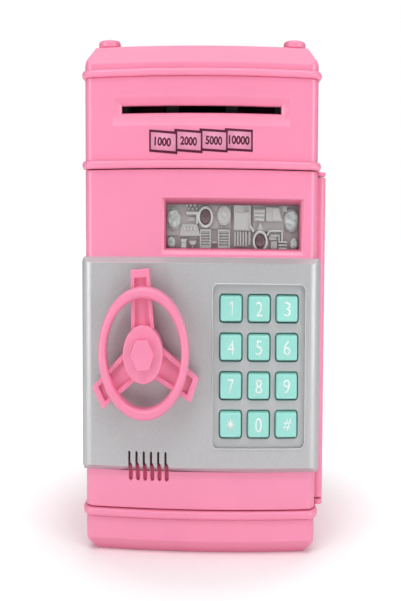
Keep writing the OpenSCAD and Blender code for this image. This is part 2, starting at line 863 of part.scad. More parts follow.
// Silver panel that wraps round the door's middle
module silver_fascia() color("silver") difference() {
    intersection() {
        slab(fascia_bottom, fascia_top)
            front_plan(body_w + 2 * fascia_side, fascia_y, fascia_back_y, fascia_r);
        rotate([90, 0, 90]) linear_extrude(2 * body_w, center = true)
            fascia_profile(fascia_bottom, fascia_top, fascia_y, fascia_back_y);
        panel(fascia_y - over, fascia_back_y + over) fascia_outline();
    }
    slab(fascia_bottom - over, fascia_top + over)
        front_plan(body_w, front_y, fascia_back_y + over, corner_r);
    panel(fascia_y - over, keypad_floor_y) translate([keypad_x, keypad_z])
        round_rect(keypad_w, keypad_h, keypad_r);
    for (i = [0:len(KEYS) - 1])
        panel(keypad_floor_y - over, front_y + over) translate(key_pos(i))
            round_rect(key_w + 2 * key_clear, key_h + 2 * key_clear, key_r + key_clear);
    rod_y(fascia_y - over, front_y + over, wheel_x, wheel_z, bush_r + running);
    for (i = [0:vent_count - 1]) panel(fascia_y - over, front_y + over) {
        vent_outline(vent_x(i), groove_w, 0, notch_top);
        vent_outline(vent_x(i) + vent_shift, vent_w, 0, vent_top);
    }
}

// Flat cover that closes the back of the door
module door_liner() color("lightpink") difference() {
    block([-inner_w / 2 + wall_clear, door_back_y - liner_t, door_z + wall + wall_clear],
        [inner_w / 2 - wall_clear, door_back_y, door_top - wall - wall_clear]);
    rod_y(door_back_y - 2 * liner_t, door_back_y + over, wheel_x, wheel_z, spindle_r + over / 2);
    door_corners() rod_y(door_back_y - 2 * liner_t, door_back_y + over, 0, 0, screw_r);
}

// Screws that hold the liner
module door_screws() color("silver") door_corners() {
    rod_y(door_back_y, door_back_y + liner_head_h, 0, 0, screw_head_r);
    rod_y(door_back_y - liner_screw_reach, door_back_y + eps, 0, 0, small_screw_r);
}

// Machine relief behind the window: a back plate with raised blocks and domes
module relief_plate() color("lightgray") difference() {
    union() {
        panel(relief_y, relief_y + relief_t) translate([window_x, window_z])
            square([window_w + 2 * well_t, window_h + 2 * well_t], center = true);
        intersection() {
            panel(front_y, relief_y + eps) translate([window_x, window_z])
                square([window_w - 2 * wall_clear, window_h - 2 * wall_clear], center = true);
            translate([window_x, 0, window_z]) raised_relief();
        }
    }
    for (p = lamp_places)
        rod_y(front_y, relief_y + relief_t + over, window_x + p[0], window_z + p[1],
            lamp_r + running);
}

// The relief's rings, domes and blocks, about the window's centre
module raised_relief() {
    for (p = lamp_places) rod_y(relief_y - lamp_ring_h, relief_y + eps, p[0], p[1], lamp_ring_r);
    for (side = [-1, 1], d = [big_dome, small_dome])
        rod_y(relief_y - d[3], relief_y + eps, side * d[0], d[1], d[2]);
    for (b = relief_blocks)
        block([b[0] - b[2], relief_y - relief_block_h, b[1] - b[3]],
            [b[0] + b[2], relief_y + eps, b[1] + b[3]]);
}

// Red and green lamps that look out through the relief
module indicator_lamps() color("darkred") for (p = lamp_places) {
    rod_y(relief_y - lamp_sink, relief_y + lamp_body, window_x + p[0], window_z + p[1], lamp_r);
    translate([window_x + p[0], relief_y - lamp_sink, window_z + p[1]]) rotate([90, 0, 0])
        cylinder(h = lamp_tip_h, r1 = lamp_r, r2 = lamp_r - 1);
}

// Rubber sheet with a dome behind each key
module keypad_membrane() color("gray") {
    panel(dome_y + dome_h, dome_y + dome_h + membrane_t) translate([keypad_x, keypad_z])
        square([keypad_w + 2 * board_margin, keypad_h + 2 * board_margin], center = true);
    for (i = [0:len(KEYS) - 1])
        rod_y(dome_y, dome_y + dome_h + eps, key_pos(i)[0], key_pos(i)[1], dome_r);
}

// Circuit board behind the membrane
module keypad_board() color("darkgreen") {
    y = dome_y + dome_h + membrane_t;
    panel(y, y + board_t) translate([keypad_x, keypad_z])
        square([keypad_w + 2 * board_margin, keypad_h + 2 * board_margin], center = true);
    block([keypad_x + chip[0], y + board_t - eps, keypad_z - chip[2]],
        [keypad_x + chip[1], y + board_t + chip[3], keypad_z + chip[2]]);
}

// Speaker behind the slots
module speaker() color("dimgray") {
    rim_back_y = front_y + wall + speaker_rim_t;
    rod_y(front_y + wall, rim_back_y, speaker_x, speaker_z, speaker_r);
    rod_y(rim_back_y - eps, rim_back_y + magnet_t, speaker_x, speaker_z, magnet_r);
}

// Solenoid on the back of the liner
module lock_solenoid() color("gray") difference() {
    block([solenoid_x, door_back_y, wheel_z - solenoid_h / 2],
        [solenoid_x + solenoid_len, door_back_y + solenoid_d, wheel_z + solenoid_h / 2]);
    rod_x(solenoid_x - over, solenoid_x + plunger_bore, -cam_back - cam_t / 2, wheel_z,
        plunger_r + plunger_clear);
}

// Flanged bush that carries the spindle in the door
module spindle_bush() color("white") on_wheel_axis() difference() {
    union() {
        rod_z(-fascia_y, -fascia_y + bush_flange_t, 0, 0, bush_flange_r);
        rod_z(-front_y - wall - bush_tail, -fascia_y + eps, 0, 0, bush_r);
    }
    rod_z(-front_y - wall - bush_tail - over, -fascia_y + 2 * bush_flange_t, 0, 0,
        spindle_r + running);
}

// ---- Handwheel and latch ----

// One spoke along X: a channel with raised rails, closed at its tip
module spoke() {
    taper = (spoke_root_w - spoke_tip_w) / 2 * spoke_end_wall / spoke_reach;
    difference() {
        slab(spoke_back, spoke_back + spoke_t) polygon([
            [0, -spoke_root_w / 2], [spoke_reach, -spoke_tip_w / 2],
            [spoke_reach, spoke_tip_w / 2], [0, spoke_root_w / 2]
        ]);
        slab(spoke_back + spoke_floor_t, spoke_back + spoke_t + over) polygon([
            [0, spoke_rail - spoke_root_w / 2],
            [spoke_reach - spoke_end_wall, spoke_rail - spoke_tip_w / 2 - taper],
            [spoke_reach - spoke_end_wall, spoke_tip_w / 2 - spoke_rail + taper],
            [0, spoke_root_w / 2 - spoke_rail]
        ]);
    }
}

// Rim, three spokes and hub in one moulding
module handwheel() color("hotpink") on_wheel_axis() difference() {
    union() {
        rotate_extrude() {
            translate([rim_r - rim_w / 2, rim_back]) square([rim_w, rim_straight]);
            translate([rim_r, rim_back + rim_straight]) circle(rim_w / 2);
        }
        for (i = [0:2]) rotate([0, 0, 90 + wheel_turn + 120 * i]) spoke();
        rod_z(hub_back, hub_face, 0, 0, hub_d / 2 - hub_lip);
    }
    rod_z(hub_back - over, hub_face + over, 0, 0, spindle_r);
    rod_z(hub_face - spigot_h, hub_face + over, 0, 0, spigot_r);
}

// Cap over the hub, with its six-sided boss
module hub_cap() color("hotpink") on_wheel_axis() {
    rod_z(hub_face - spigot_h, hub_face + eps, 0, 0, spigot_r);
    rod_z(hub_face, hub_face + cap_disc_t, 0, 0, hub_d / 2);
    rotate([0, 0, wheel_turn]) translate([0, 0, hub_face + cap_disc_t - eps])
        cylinder(h = hex_h + eps, r = hex_r, $fn = 6);
}

// Shaft that joins the wheel to the latch
module spindle() color("silver") on_wheel_axis() difference() {
    rod_z(cam_back, hub_face - spigot_h, 0, 0, spindle_r);
    rod_z(cam_back - over, cam_back + cam_screw_len + over / 2, 0, 0, small_screw_r);
}

// Latch: a disc with two notches for the plunger and a tongue for the strike
module latch_cam() color("silver") on_wheel_axis() difference() {
    union() {
        rod_z(cam_back, cam_back + cam_t, 0, 0, cam_r);
        slab(cam_back, cam_back + cam_t) {
            translate([-tongue_w / 2, -tongue_reach + tongue_w / 2])
                square([tongue_w, tongue_reach - tongue_w / 2]);
            translate([0, -tongue_reach + tongue_w / 2]) circle(tongue_w / 2);
        }
    }
    rod_z(cam_back - over, cam_back + cam_t + over, 0, 0, spindle_r);
    for (a = [0, 90]) rotate([0, 0, a])
        block([notch_floor_r, -notch_w / 2, cam_back - over],
            [cam_r + over, notch_w / 2, cam_back + cam_t + over]);
}

// Screw that holds the latch on the spindle
module cam_screw() color("silver") on_wheel_axis() {
    rod_z(cam_back - cam_screw_head_h, cam_back, 0, 0, spindle_r + head_clear);
    rod_z(cam_back - eps, cam_back + cam_screw_len, 0, 0, small_screw_r);
}

// Plunger that locks the latch from turning
module lock_plunger() color("silver")
    rod_x(plunger_tip_x, plunger_tip_x + plunger_len, -cam_back - cam_t / 2, wheel_z, plunger_r);

// ---- Keys ----

// Key number i: a cap that shows in the recess and a flange behind the fascia
module key(i) color("aquamarine") {
    panel(keypad_floor_y - key_proud, key_back_y) translate(key_pos(i))
        round_rect(key_w, key_h, key_r);
    panel(key_flange_y, key_back_y) translate(key_pos(i))
        round_rect(key_w + 2 * key_flange, key_h + 2 * key_flange, key_r);
}

cabinet_shell();
base_tray();
plinth_plate();
head_housing();
roof_cap();
corner_plugs();
cap_screws();
base_screws();
tray_screws();
mechanism_tray();
roller_brackets();
feed_motor();
note_sensor();
coin_chute();
battery_box();
battery_cells();
battery_contacts();
hinge_pins();
feed_shaft();
feed_rollers();
drive_gear();
pinch_shaft();
pinch_rollers();
motor_pinion();
battery_cover();
cover_screw();
door_shell();
silver_fascia();
door_liner();
relief_plate();
indicator_lamps();
keypad_membrane();
keypad_board();
speaker();
lock_solenoid();
spindle_bush();
door_screws();
handwheel();
hub_cap();
spindle();
latch_cam();
cam_screw();
lock_plunger();
for (i = [0:len(KEYS) - 1])
    key(i);
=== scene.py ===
"""Toy safe coin bank: the looks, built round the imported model.

Lengths are in metres and MM turns millimetres into them. The door faces -Y and Z is up.
"""
import json
import math

import bmesh
import bpy
from mathutils import Euler, Matrix, Vector


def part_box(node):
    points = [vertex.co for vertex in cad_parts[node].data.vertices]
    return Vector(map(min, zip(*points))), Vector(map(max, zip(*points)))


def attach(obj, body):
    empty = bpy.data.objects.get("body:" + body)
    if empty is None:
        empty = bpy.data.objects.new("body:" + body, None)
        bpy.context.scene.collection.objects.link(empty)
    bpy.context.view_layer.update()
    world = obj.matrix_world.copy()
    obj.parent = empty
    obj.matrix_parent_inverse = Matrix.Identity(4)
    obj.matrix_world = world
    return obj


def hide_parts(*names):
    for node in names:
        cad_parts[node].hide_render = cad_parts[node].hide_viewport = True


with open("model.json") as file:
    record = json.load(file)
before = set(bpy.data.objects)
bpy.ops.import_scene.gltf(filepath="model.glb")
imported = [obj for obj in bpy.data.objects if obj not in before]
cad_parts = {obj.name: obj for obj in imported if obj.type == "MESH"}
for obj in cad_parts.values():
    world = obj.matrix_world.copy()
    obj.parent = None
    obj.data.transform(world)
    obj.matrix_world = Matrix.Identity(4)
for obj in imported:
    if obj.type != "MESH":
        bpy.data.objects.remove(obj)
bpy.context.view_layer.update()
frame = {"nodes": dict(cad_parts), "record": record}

MM = 0.001
NODES = frame["nodes"]
SLOT_OF = {row["node"]: row["material_slot"] for row in frame["record"]["subparts"]}
BODY_OF = {
    node: body
    for body, members in frame["record"]["behaviour"]["bodies"].items()
    for node in members
}

# Places that several pieces share, read from the frame
HEAD_LOW, HEAD_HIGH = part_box("head_housing")
FASCIA_LOW, FASCIA_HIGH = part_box("silver_fascia")
BAND_OUT = 1.8 * MM
CORNER_R = 5 * MM
FRONT_Y = HEAD_LOW.y + BAND_OUT
HALF_WIDTH = HEAD_HIGH.x - BAND_OUT

# Merging and rounding of the copies made from CAD nodes. An edge is rounded when its faces meet
# at more than SHARP_ANGLE and less than KNIFE_ANGLE.
MERGE_DISTANCE = 0.002 * MM
FLAT_ANGLE = math.radians(0.4)
SHARP_ANGLE = math.radians(25)
KNIFE_ANGLE = math.radians(100)

# Rounding widths
BEAD = 1.25 * MM
FASCIA_EDGE = 0.9 * MM
PLUG_EDGE = 1.0 * MM
SHELL_EDGE = 0.45 * MM
COVER_EDGE = 0.6 * MM
WHEEL_EDGE = 0.4 * MM
HUB_EDGE = 0.6 * MM

# Shares of the width for lesser edges and for edges in the zone next to the ground
SMALL_EDGE = 0.4
GROUND_EDGE = 0.12
GROUND_ZONE = 2 * MM

# An edge is a band's when it stands out by this share of BAND_OUT, and a front edge of the
# fascia when it lies in the zone next to its top or foot
BAND_SHARE = 0.6
FASCIA_ZONE = 3 * MM

# ---- Camera and light ----

# The picture is stretched upwards, so it is taken as two separate ranges of a cylindrical view:
# one sideways and one upwards. HALF_VIEW is half of the upward one.
HALF_VIEW = 0.2864
SIDE_SCALE = 1.0161
CAMERA_PLACE = Vector((9.7, -445.3, 125.0)) * MM
CAMERA_TURN = math.radians(-1.42)
CAMERA_DIP = math.radians(3.93)
CAMERA_ROLL = math.radians(0.31)

# The overhead light starts at this height of the sky, from 0 at the horizon to 1 straight up
OVERHEAD_FROM = 0.6

# Long soft boxes, in metres: one at each side for the upright edges and one above the front
SIDE_STRIP_PLACE = Vector((0.5, -0.42, 0.16))
SIDE_STRIP_TARGET = Vector((0.06, -0.05, 0.1))
SIDE_STRIP_SIZE = (0.13, 0.5)
TOP_STRIP_PLACE = Vector((0, -0.5, 0.72))
TOP_STRIP_TARGET = Vector((0, -0.05, 0.11))
TOP_STRIP_SIZE = (0.8, 0.07)

# The floor, and how much brighter than lit paper it looks near the object and away from it
FLOOR_HALF = 12
FLOOR_GLOW = 0.44
FLOOR_GLOW_NEAR = FLOOR_GLOW / 6
GLOW_NEAR = 0.08
GLOW_FAR = 0.16


def add_camera():
    """A cylindrical camera whose upward range is kept as narrow as its sideways one."""
    data = bpy.data.cameras.new("camera")
    data.type = "PANO"
    data.panorama_type = "CENTRAL_CYLINDRICAL"
    data.central_cylindrical_radius = 1
    data.central_cylindrical_range_u_min = -HALF_VIEW / SIDE_SCALE
    data.central_cylindrical_range_u_max = HALF_VIEW / SIDE_SCALE
    data.central_cylindrical_range_v_min = -HALF_VIEW
    data.central_cylindrical_range_v_max = HALF_VIEW
    data.clip_start = 0.01
    data.clip_end = 50
    camera = bpy.data.objects.new("camera", data)
    forward = Vector((
        math.sin(CAMERA_TURN) * math.cos(CAMERA_DIP),
        math.cos(CAMERA_TURN) * math.cos(CAMERA_DIP),
        -math.sin(CAMERA_DIP),
    ))
    level = Vector((math.cos(CAMERA_TURN), -math.sin(CAMERA_TURN), 0))
    upright = level.cross(forward)
    right = level * math.cos(CAMERA_ROLL) + upright * math.sin(CAMERA_ROLL)
    up = upright * math.cos(CAMERA_ROLL) - level * math.sin(CAMERA_ROLL)
    facing = Matrix((right, up, -forward)).transposed().to_4x4()
    camera.matrix_world = Matrix.Translation(CAMERA_PLACE) @ facing
    bpy.context.scene.collection.objects.link(camera)
    bpy.context.scene.camera = camera


def add_sun(name, strength, softness, dip, turn):
    """A soft sun, dip degrees above the horizon and turn degrees round from the front."""
    data = bpy.data.lights.new(name, "SUN")
    data.energy = strength
    data.angle = math.radians(softness)
    lamp = bpy.data.objects.new(name, data)
    lamp.rotation_euler = Euler((math.radians(90 - dip), 0, math.radians(turn)))
    bpy.context.scene.collection.objects.link(lamp)


def add_strip(name, place, target, size, power):
    """A long soft box that draws a highlight along an edge: size is its width and height."""
    data = bpy.data.lights.new(name, "AREA")
    data.shape = "RECTANGLE"
    data.size, data.size_y = size
    data.energy = power
    lamp = bpy.data.objects.new(name, data)
    lamp.location = place
    lamp.rotation_euler = (target - place).to_track_quat("-Z", "Y").to_euler()
    bpy.context.scene.collection.objects.link(lamp)


def add_world(seen, level, overhead):
    """A white room: seen by the eye, level sheds light from all round, overhead from above."""
    world = bpy.data.worlds.new("room")
    bpy.context.scene.world = world
    world.use_nodes = True
    tree = world.node_tree
    tree.nodes.clear()
    output = tree.nodes.new("ShaderNodeOutputWorld")
    mix = tree.nodes.new("ShaderNodeMixShader")
    path = tree.nodes.new("ShaderNodeLightPath")
    where = tree.nodes.new("ShaderNodeTexCoord")
    split = tree.nodes.new("ShaderNodeSeparateXYZ")
    ramp = tree.nodes.new("ShaderNodeMapRange")
    ramp.interpolation_type = "SMOOTHSTEP"
    ramp.inputs["From Min"].default_value = OVERHEAD_FROM
    ramp.inputs["From Max"].default_value = 1
    ramp.inputs["To Min"].default_value = level
    ramp.inputs["To Max"].default_value = overhead
    light = tree.nodes.new("ShaderNodeBackground")
    sight = tree.nodes.new("ShaderNodeBackground")
    sight.inputs["Strength"].default_value = seen
    for shade in (light, sight):
        shade.inputs["Color"].default_value = (1, 1, 1, 1)
    tree.links.new(where.outputs["Generated"], split.inputs["Vector"])
    tree.links.new(split.outputs["Z"], ramp.inputs["Value"])
    tree.links.new(ramp.outputs["Result"], light.inputs["Strength"])
    tree.links.new(path.outputs["Is Camera Ray"], mix.inputs["Fac"])
    tree.links.new(light.outputs[0], mix.inputs[1])
    tree.links.new(sight.outputs[0], mix.inputs[2])
    tree.links.new(mix.outputs[0], output.inputs["Surface"])


def add_floor():
    """A wide pale floor."""
    corners = [(-1, -1), (1, -1), (1, 1), (-1, 1)]
    mesh = bpy.data.meshes.new("floor")
    mesh.from_pydata([(x * FLOOR_HALF, y * FLOOR_HALF, 0) for x, y in corners], [], [(0, 1, 2, 3)])
    mesh.materials.append(floor_paper())
    floor = bpy.data.objects.new("floor", mesh)
    bpy.context.scene.collection.objects.link(floor)


def set_scene():
    """Camera, light, room and floor."""
    bpy.context.scene.view_settings.view_transform = "Standard"
    add_camera()
    add_world(seen=1.0, level=0.08, overhead=1.3)
    add_sun("key_sun", strength=0.25, softness=35, dip=45, turn=-24)
    add_sun("fill_sun", strength=0.1, softness=60, dip=38, turn=38)
    add_sun("back_sun", strength=0.45, softness=60, dip=35, turn=165)
    for side in (-1, 1):
        mirror = Vector((side, 1, 1))
        place = SIDE_STRIP_PLACE * mirror
        add_strip(f"strip_{side}", place, SIDE_STRIP_TARGET * mirror, SIDE_STRIP_SIZE, power=1.4)
    add_strip("strip_top", TOP_STRIP_PLACE, TOP_STRIP_TARGET, TOP_STRIP_SIZE, power=1.3)
    add_floor()


# ---- Material building blocks ----

NOISE_LOW = 0.3
NOISE_HIGH = 0.7
COAT_ROUGHNESS = 0.2


def start_material(name, roughness, metallic=0.0, coat=0.0):
    """A new material, its node tree and its shader."""
    material = bpy.data.materials.new(name)
    material.use_nodes = True
    shader = material.node_tree.nodes["Principled BSDF"]
    shader.inputs["Roughness"].default_value = roughness
    shader.inputs["Metallic"].default_value = metallic
    shader.inputs["Coat Weight"].default_value = coat
    shader.inputs["Coat Roughness"].default_value = COAT_ROUGHNESS
    return material, material.node_tree, shader


def object_place(tree, stretch=(1, 1, 1)):
    """The place on the object, scaled by stretch."""
    where = tree.nodes.new("ShaderNodeTexCoord")
    mapping = tree.nodes.new("ShaderNodeMapping")
    mapping.inputs["Scale"].default_value = stretch
    tree.links.new(where.outputs["Object"], mapping.inputs["Vector"])
    return mapping.outputs["Vector"]


def noise(tree, size, detail=2.0, stretch=(1, 1, 1)):
    """Noise from 0 to 1 whose grains are about size metres across."""
    texture = tree.nodes.new("ShaderNodeTexNoise")
    texture.inputs["Scale"].default_value = 1 / size
    texture.inputs["Detail"].default_value = detail
    tree.links.new(object_place(tree, stretch), texture.inputs["Vector"])
    return texture.outputs["Fac"]


def spread(tree, value, low, high):
    """Maps the middle part of a noise to the range from low to high."""
    node = tree.nodes.new("ShaderNodeMapRange")
    node.inputs["From Min"].default_value = NOISE_LOW
    node.inputs["From Max"].default_value = NOISE_HIGH
    node.inputs["To Min"].default_value = low
    node.inputs["To Max"].default_value = high
    tree.links.new(value, node.inputs["Value"])
    return node.outputs["Result"]


def mixed(tree, value, first, second):
    """A colour between first and second, by value."""
    node = tree.nodes.new("ShaderNodeMix")
    node.data_type = "RGBA"
    node.inputs[6].default_value = (*first, 1)
    node.inputs[7].default_value = (*second, 1)
    tree.links.new(value, node.inputs[0])
    return node.outputs[2]


def add_bump(tree, shader, height, strength, depth):
    """Gives the shader's surface small relief from height."""
    node = tree.nodes.new("ShaderNodeBump")
    node.inputs["Strength"].default_value = strength
    node.inputs["Distance"].default_value = depth
    tree.links.new(height, node.inputs["Height"])
    tree.links.new(node.outputs["Normal"], shader.inputs["Normal"])


def axis_share(tree, axis, start, end):
    """How far a place lies from start to end along an axis, from 0 to 1."""
    split = tree.nodes.new("ShaderNodeSeparateXYZ")
    tree.links.new(object_place(tree), split.inputs["Vector"])
    node = tree.nodes.new("ShaderNodeMapRange")
    node.inputs["From Min"].default_value = start
    node.inputs["From Max"].default_value = end
    tree.links.new(split.outputs[axis], node.inputs["Value"])
    return node.outputs["Result"]


def combined(tree, operation, first, second):
    """Two values combined by a math operation."""
    node = tree.nodes.new("ShaderNodeMath")
    node.operation = operation
    tree.links.new(first, node.inputs[0])
    tree.links.new(second, node.inputs[1])
    return node.outputs[0]


def tinted(colour, share):
    """The colour made darker, or lighter where share is above 1."""
    return tuple(min(1.0, part * share) for part in colour)


# ---- Materials ----


def moulded(name, colour, roughness=0.36, coat=0.45, variation=0.025, grain=0.12 * MM):
    """Moulded plastic: faint flow variation in colour, uneven gloss and a fine mould grain."""
    material, tree, shader = start_material(name, roughness, coat=coat)
    cloud = noise(tree, 22 * MM, detail=3)
    darker = tinted(colour, 1 - variation)
    lighter = tinted(colour, 1 + variation / 2)
    shade = mixed(tree, spread(tree, cloud, 0, 1), darker, lighter)
    tree.links.new(shade, shader.inputs["Base Color"])
    gloss = spread(tree, noise(tree, 6 * MM, detail=4), roughness - 0.02, roughness + 0.03)
    tree.links.new(gloss, shader.inputs["Roughness"])
    add_bump(tree, shader, noise(tree, grain, detail=2), 0.25, 0.012 * MM)
    return material


def silver_paint(name, colour, roughness, flake=0.16 * MM):
    """Metallic paint: fine bright and dark flakes under a thin lacquer."""
    material, tree, shader = start_material(name, roughness, metallic=0.5, coat=0.12)
    flakes = noise(tree, flake, detail=1)
    shade = mixed(tree, spread(tree, flakes, 0, 1), tinted(colour, 0.86), tinted(colour, 1.14))
    tree.links.new(shade, shader.inputs["Base Color"])
    gloss = spread(tree, noise(tree, 9 * MM, detail=3), roughness - 0.03, roughness + 0.05)
    tree.links.new(gloss, shader.inputs["Roughness"])
    add_bump(tree, shader, flakes, 0.2, 0.01 * MM)
    return material


def brushed_steel():
    """Plain steel with short lengthwise scratches."""
    material, tree, shader = start_material("brushed_steel", 0.3, metallic=1.0)
    lines = noise(tree, 0.5 * MM, detail=4, stretch=(0.12, 1, 1))
    shade = mixed(tree, lines, (0.46, 0.46, 0.47), (0.70, 0.70, 0.71))
    tree.links.new(shade, shader.inputs["Base Color"])
    tree.links.new(spread(tree, lines, 0.24, 0.42), shader.inputs["Roughness"])
    add_bump(tree, shader, lines, 0.2, 0.01 * MM)
    return material


def roller_rubber():
    """Dull dark rubber with a sandy skin."""
    material, tree, shader = start_material("roller_rubber", 0.75)
    dust = noise(tree, 3 * MM, detail=5)
    shade = mixed(tree, dust, (0.03, 0.03, 0.03), (0.10, 0.10, 0.10))
    tree.links.new(shade, shader.inputs["Base Color"])
    tree.links.new(spread(tree, dust, 0.66, 0.84), shader.inputs["Roughness"])
    add_bump(tree, shader, noise(tree, 0.2 * MM, detail=3), 0.5, 0.03 * MM)
    return material


def circuit_board():
    """Green solder mask with paler tracks under it."""
    material, tree, shader = start_material("circuit_board", 0.35, coat=0.3)
    bricks = tree.nodes.new("ShaderNodeTexBrick")
    bricks.inputs["Scale"].default_value = 240
    bricks.inputs["Mortar Size"].default_value = 0.012
    bricks.inputs["Color1"].default_value = (0.010, 0.115, 0.045, 1)
    bricks.inputs["Color2"].default_value = (0.014, 0.140, 0.055, 1)
    bricks.inputs["Mortar"].default_value = (0.05, 0.30, 0.12, 1)
    turn = tree.nodes.new("ShaderNodeMapping")
    turn.inputs["Rotation"].default_value = (math.radians(90), 0, 0)
    tree.links.new(object_place(tree), turn.inputs["Vector"])
    tree.links.new(turn.outputs["Vector"], bricks.inputs["Vector"])
    tree.links.new(bricks.outputs["Color"], shader.inputs["Base Color"])
    add_bump(tree, shader, bricks.outputs["Fac"], 0.3, 0.02 * MM)
    return material


def cell_wrap():
    """Black printed wrap with a gold end, along the cell's length."""
    material, tree, shader = start_material("cell_wrap", 0.28, coat=0.4)
    gold = axis_share(tree, "X", GOLD_FROM, GOLD_FROM + 0.3 * MM)
    shade = mixed(tree, gold, (0.02, 0.02, 0.025), (0.62, 0.36, 0.10))
    tree.links.new(shade, shader.inputs["Base Color"])
    tree.links.new(spread(tree, noise(tree, 5 * MM), 0.24, 0.34), shader.inputs["Roughness"])
    return material


def lamp_lens():
    """Tinted dark lens."""
    material, tree, shader = start_material("lamp_lens", 0.12, coat=0.6)
    cloud = noise(tree, 1.2 * MM, detail=2)
    shade = mixed(tree, cloud, (0.09, 0.05, 0.06), (0.20, 0.13, 0.14))
    tree.links.new(shade, shader.inputs["Base Color"])
    add_bump(tree, shader, noise(tree, 0.5 * MM), 0.2, 0.02 * MM)
    return material


def dome_glass():
    """Pale glass with silver behind it: patchy teal and rose reflections painted into its colour."""
    material, tree, shader = start_material("dome_glass", 0.15, coat=0.6)
    patches = noise(tree, 1.6 * MM, detail=3)
    shade = mixed(tree, spread(tree, patches, 0, 1), (0.27, 0.30, 0.30), (0.58, 0.63, 0.60))
    tree.links.new(shade, shader.inputs["Base Color"])
    tree.links.new(spread(tree, noise(tree, 2 * MM), 0.10, 0.24), shader.inputs["Roughness"])
    add_bump(tree, shader, patches, 0.5, 0.15 * MM)
    return material


def floor_paper():
    """Matt white paper that looks a little brighter than it is, as an overexposed sweep does."""
    material, tree, shader = start_material("floor_paper", 0.8)
    shader.inputs["Specular IOR Level"].default_value = 0.15
    fibre = noise(tree, 0.4, detail=2)
    shade = mixed(tree, fibre, (0.93, 0.93, 0.93), (0.95, 0.95, 0.95))
    tree.links.new(shade, shader.inputs["Base Color"])
    shader.inputs["Emission Color"].default_value = (1, 1, 1, 1)
    distance = tree.nodes.new("ShaderNodeVectorMath")
    distance.operation = "LENGTH"
    tree.links.new(object_place(tree), distance.inputs[0])
    glow = tree.nodes.new("ShaderNodeMapRange")
    glow.inputs["From Min"].default_value = GLOW_NEAR
    glow.inputs["From Max"].default_value = GLOW_FAR
    glow.inputs["To Min"].default_value = FLOOR_GLOW_NEAR
    glow.inputs["To Max"].default_value = FLOOR_GLOW
    tree.links.new(distance.outputs["Value"], glow.inputs["Value"])
    path = tree.nodes.new("ShaderNodeLightPath")
    seen = combined(tree, "MULTIPLY", path.outputs["Is Camera Ray"], glow.outputs["Result"])
    tree.links.new(seen, shader.inputs["Emission Strength"])
    return material


def door_shaded_plastic():
    """The pink plastic, darkened by painted shade in the grooves and along the window's upper edge."""
    material = moulded("door_shaded_plastic", PINK)
    tree = material.node_tree
    shader = tree.nodes["Principled BSDF"]
    base = shader.inputs["Base Color"].links[0].from_socket
    # Painted shade: the pink darkens deep in the grooves and in a band over the window's top edge
    groove_shade = axis_share(tree, "Y", FRONT_Y + SHADE_FROM, FRONT_Y + SHADE_TO)
    left = axis_share(tree, "X", -HALF_WIDTH + DOOR_EDGE, -HALF_WIDTH + DOOR_EDGE + MM)
    right = axis_share(tree, "X", HALF_WIDTH - DOOR_EDGE, HALF_WIDTH - DOOR_EDGE - MM)
    shallow = axis_share(tree, "Y", FRONT_Y + 0.1 * MM, FRONT_Y + SHADE_FROM)
    above = axis_share(tree, "Z", WINDOW_TOP - 0.2 * MM, WINDOW_TOP + WINDOW_SHADE_FADE)
    either = combined(tree, "MAXIMUM", groove_shade, combined(tree, "MULTIPLY", shallow, above))
    middle = combined(tree, "MULTIPLY", left, right)
    inside = combined(tree, "MULTIPLY", middle, either)
    node = tree.nodes.new("ShaderNodeMix")
    node.data_type = "RGBA"
    node.inputs[7].default_value = (*SHADE_PINK, 1)
    tree.links.new(inside, node.inputs[0])
    tree.links.new(base, node.inputs[6])
    tree.links.new(node.outputs[2], shader.inputs["Base Color"])
    return material


def relief_shaded_paint():
    """Satin silver with painted shade towards the plate behind the machine and a painted highlight on
    the raised tops.
    """
    material, tree, shader = start_material("relief_silver", 0.36, metallic=0.2, coat=0.2)
    raised = axis_share(tree, "Y", RELIEF_Y, RELIEF_Y - RELIEF_SHADE_SPAN)
    tree.links.new(mixed(tree, raised, RELIEF_SHADE, RELIEF_HIGHLIGHT), shader.inputs["Base Color"])
    gloss = spread(tree, noise(tree, 3 * MM, detail=3), 0.30, 0.46)
    tree.links.new(gloss, shader.inputs["Roughness"])
    add_bump(tree, shader, noise(tree, 0.4 * MM, detail=2), 0.3, 0.03 * MM)
    return material


def lining_shaded_plastic():
    """Pink plastic with painted shade that darkens it towards the window's relief."""
    material, tree, shader = start_material("lining_shaded_plastic", 0.45, coat=0.2)
    shade_share = axis_share(tree, "Y", LINING_FRONT, LINING_BACK)
    tree.links.new(mixed(tree, shade_share, LINING_PALE, LINING_SHADE), shader.inputs["Base Color"])
    gloss = spread(tree, noise(tree, 3 * MM, detail=3), 0.4, 0.5)
    tree.links.new(gloss, shader.inputs["Roughness"])
    add_bump(tree, shader, noise(tree, 0.3 * MM, detail=2), 0.25, 0.02 * MM)
    return material


# The door's pink is darkened by painted shade between these depths, in from its side edges
PINK = (0.95, 0.29, 0.465)
SHADE_PINK = (0.62, 0.06, 0.16)
SHADE_FROM = 0.8 * MM
SHADE_TO = 1.5 * MM
DOOR_EDGE = 5 * MM

# The relief's plate reaches WINDOW_MARGIN past the window on every side
WINDOW_LOW, WINDOW_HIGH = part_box("relief_plate")
WINDOW = (WINDOW_LOW + WINDOW_HIGH) / 2
WINDOW_MARGIN = 1.6 * MM
WINDOW_TOP = WINDOW_HIGH.z - WINDOW_MARGIN
# Height of the band of painted shade above the window's top edge
WINDOW_SHADE_FADE = 1.4 * MM
RELIEF_T = 1.5 * MM
RELIEF_Y = WINDOW_HIGH.y - RELIEF_T
# The relief's colour runs from painted shade at the plate to a painted highlight this far in front of
# it
RELIEF_SHADE_SPAN = 2 * MM
RELIEF_SHADE = (0.37, 0.325, 0.335)
RELIEF_HIGHLIGHT = (0.56, 0.57, 0.56)

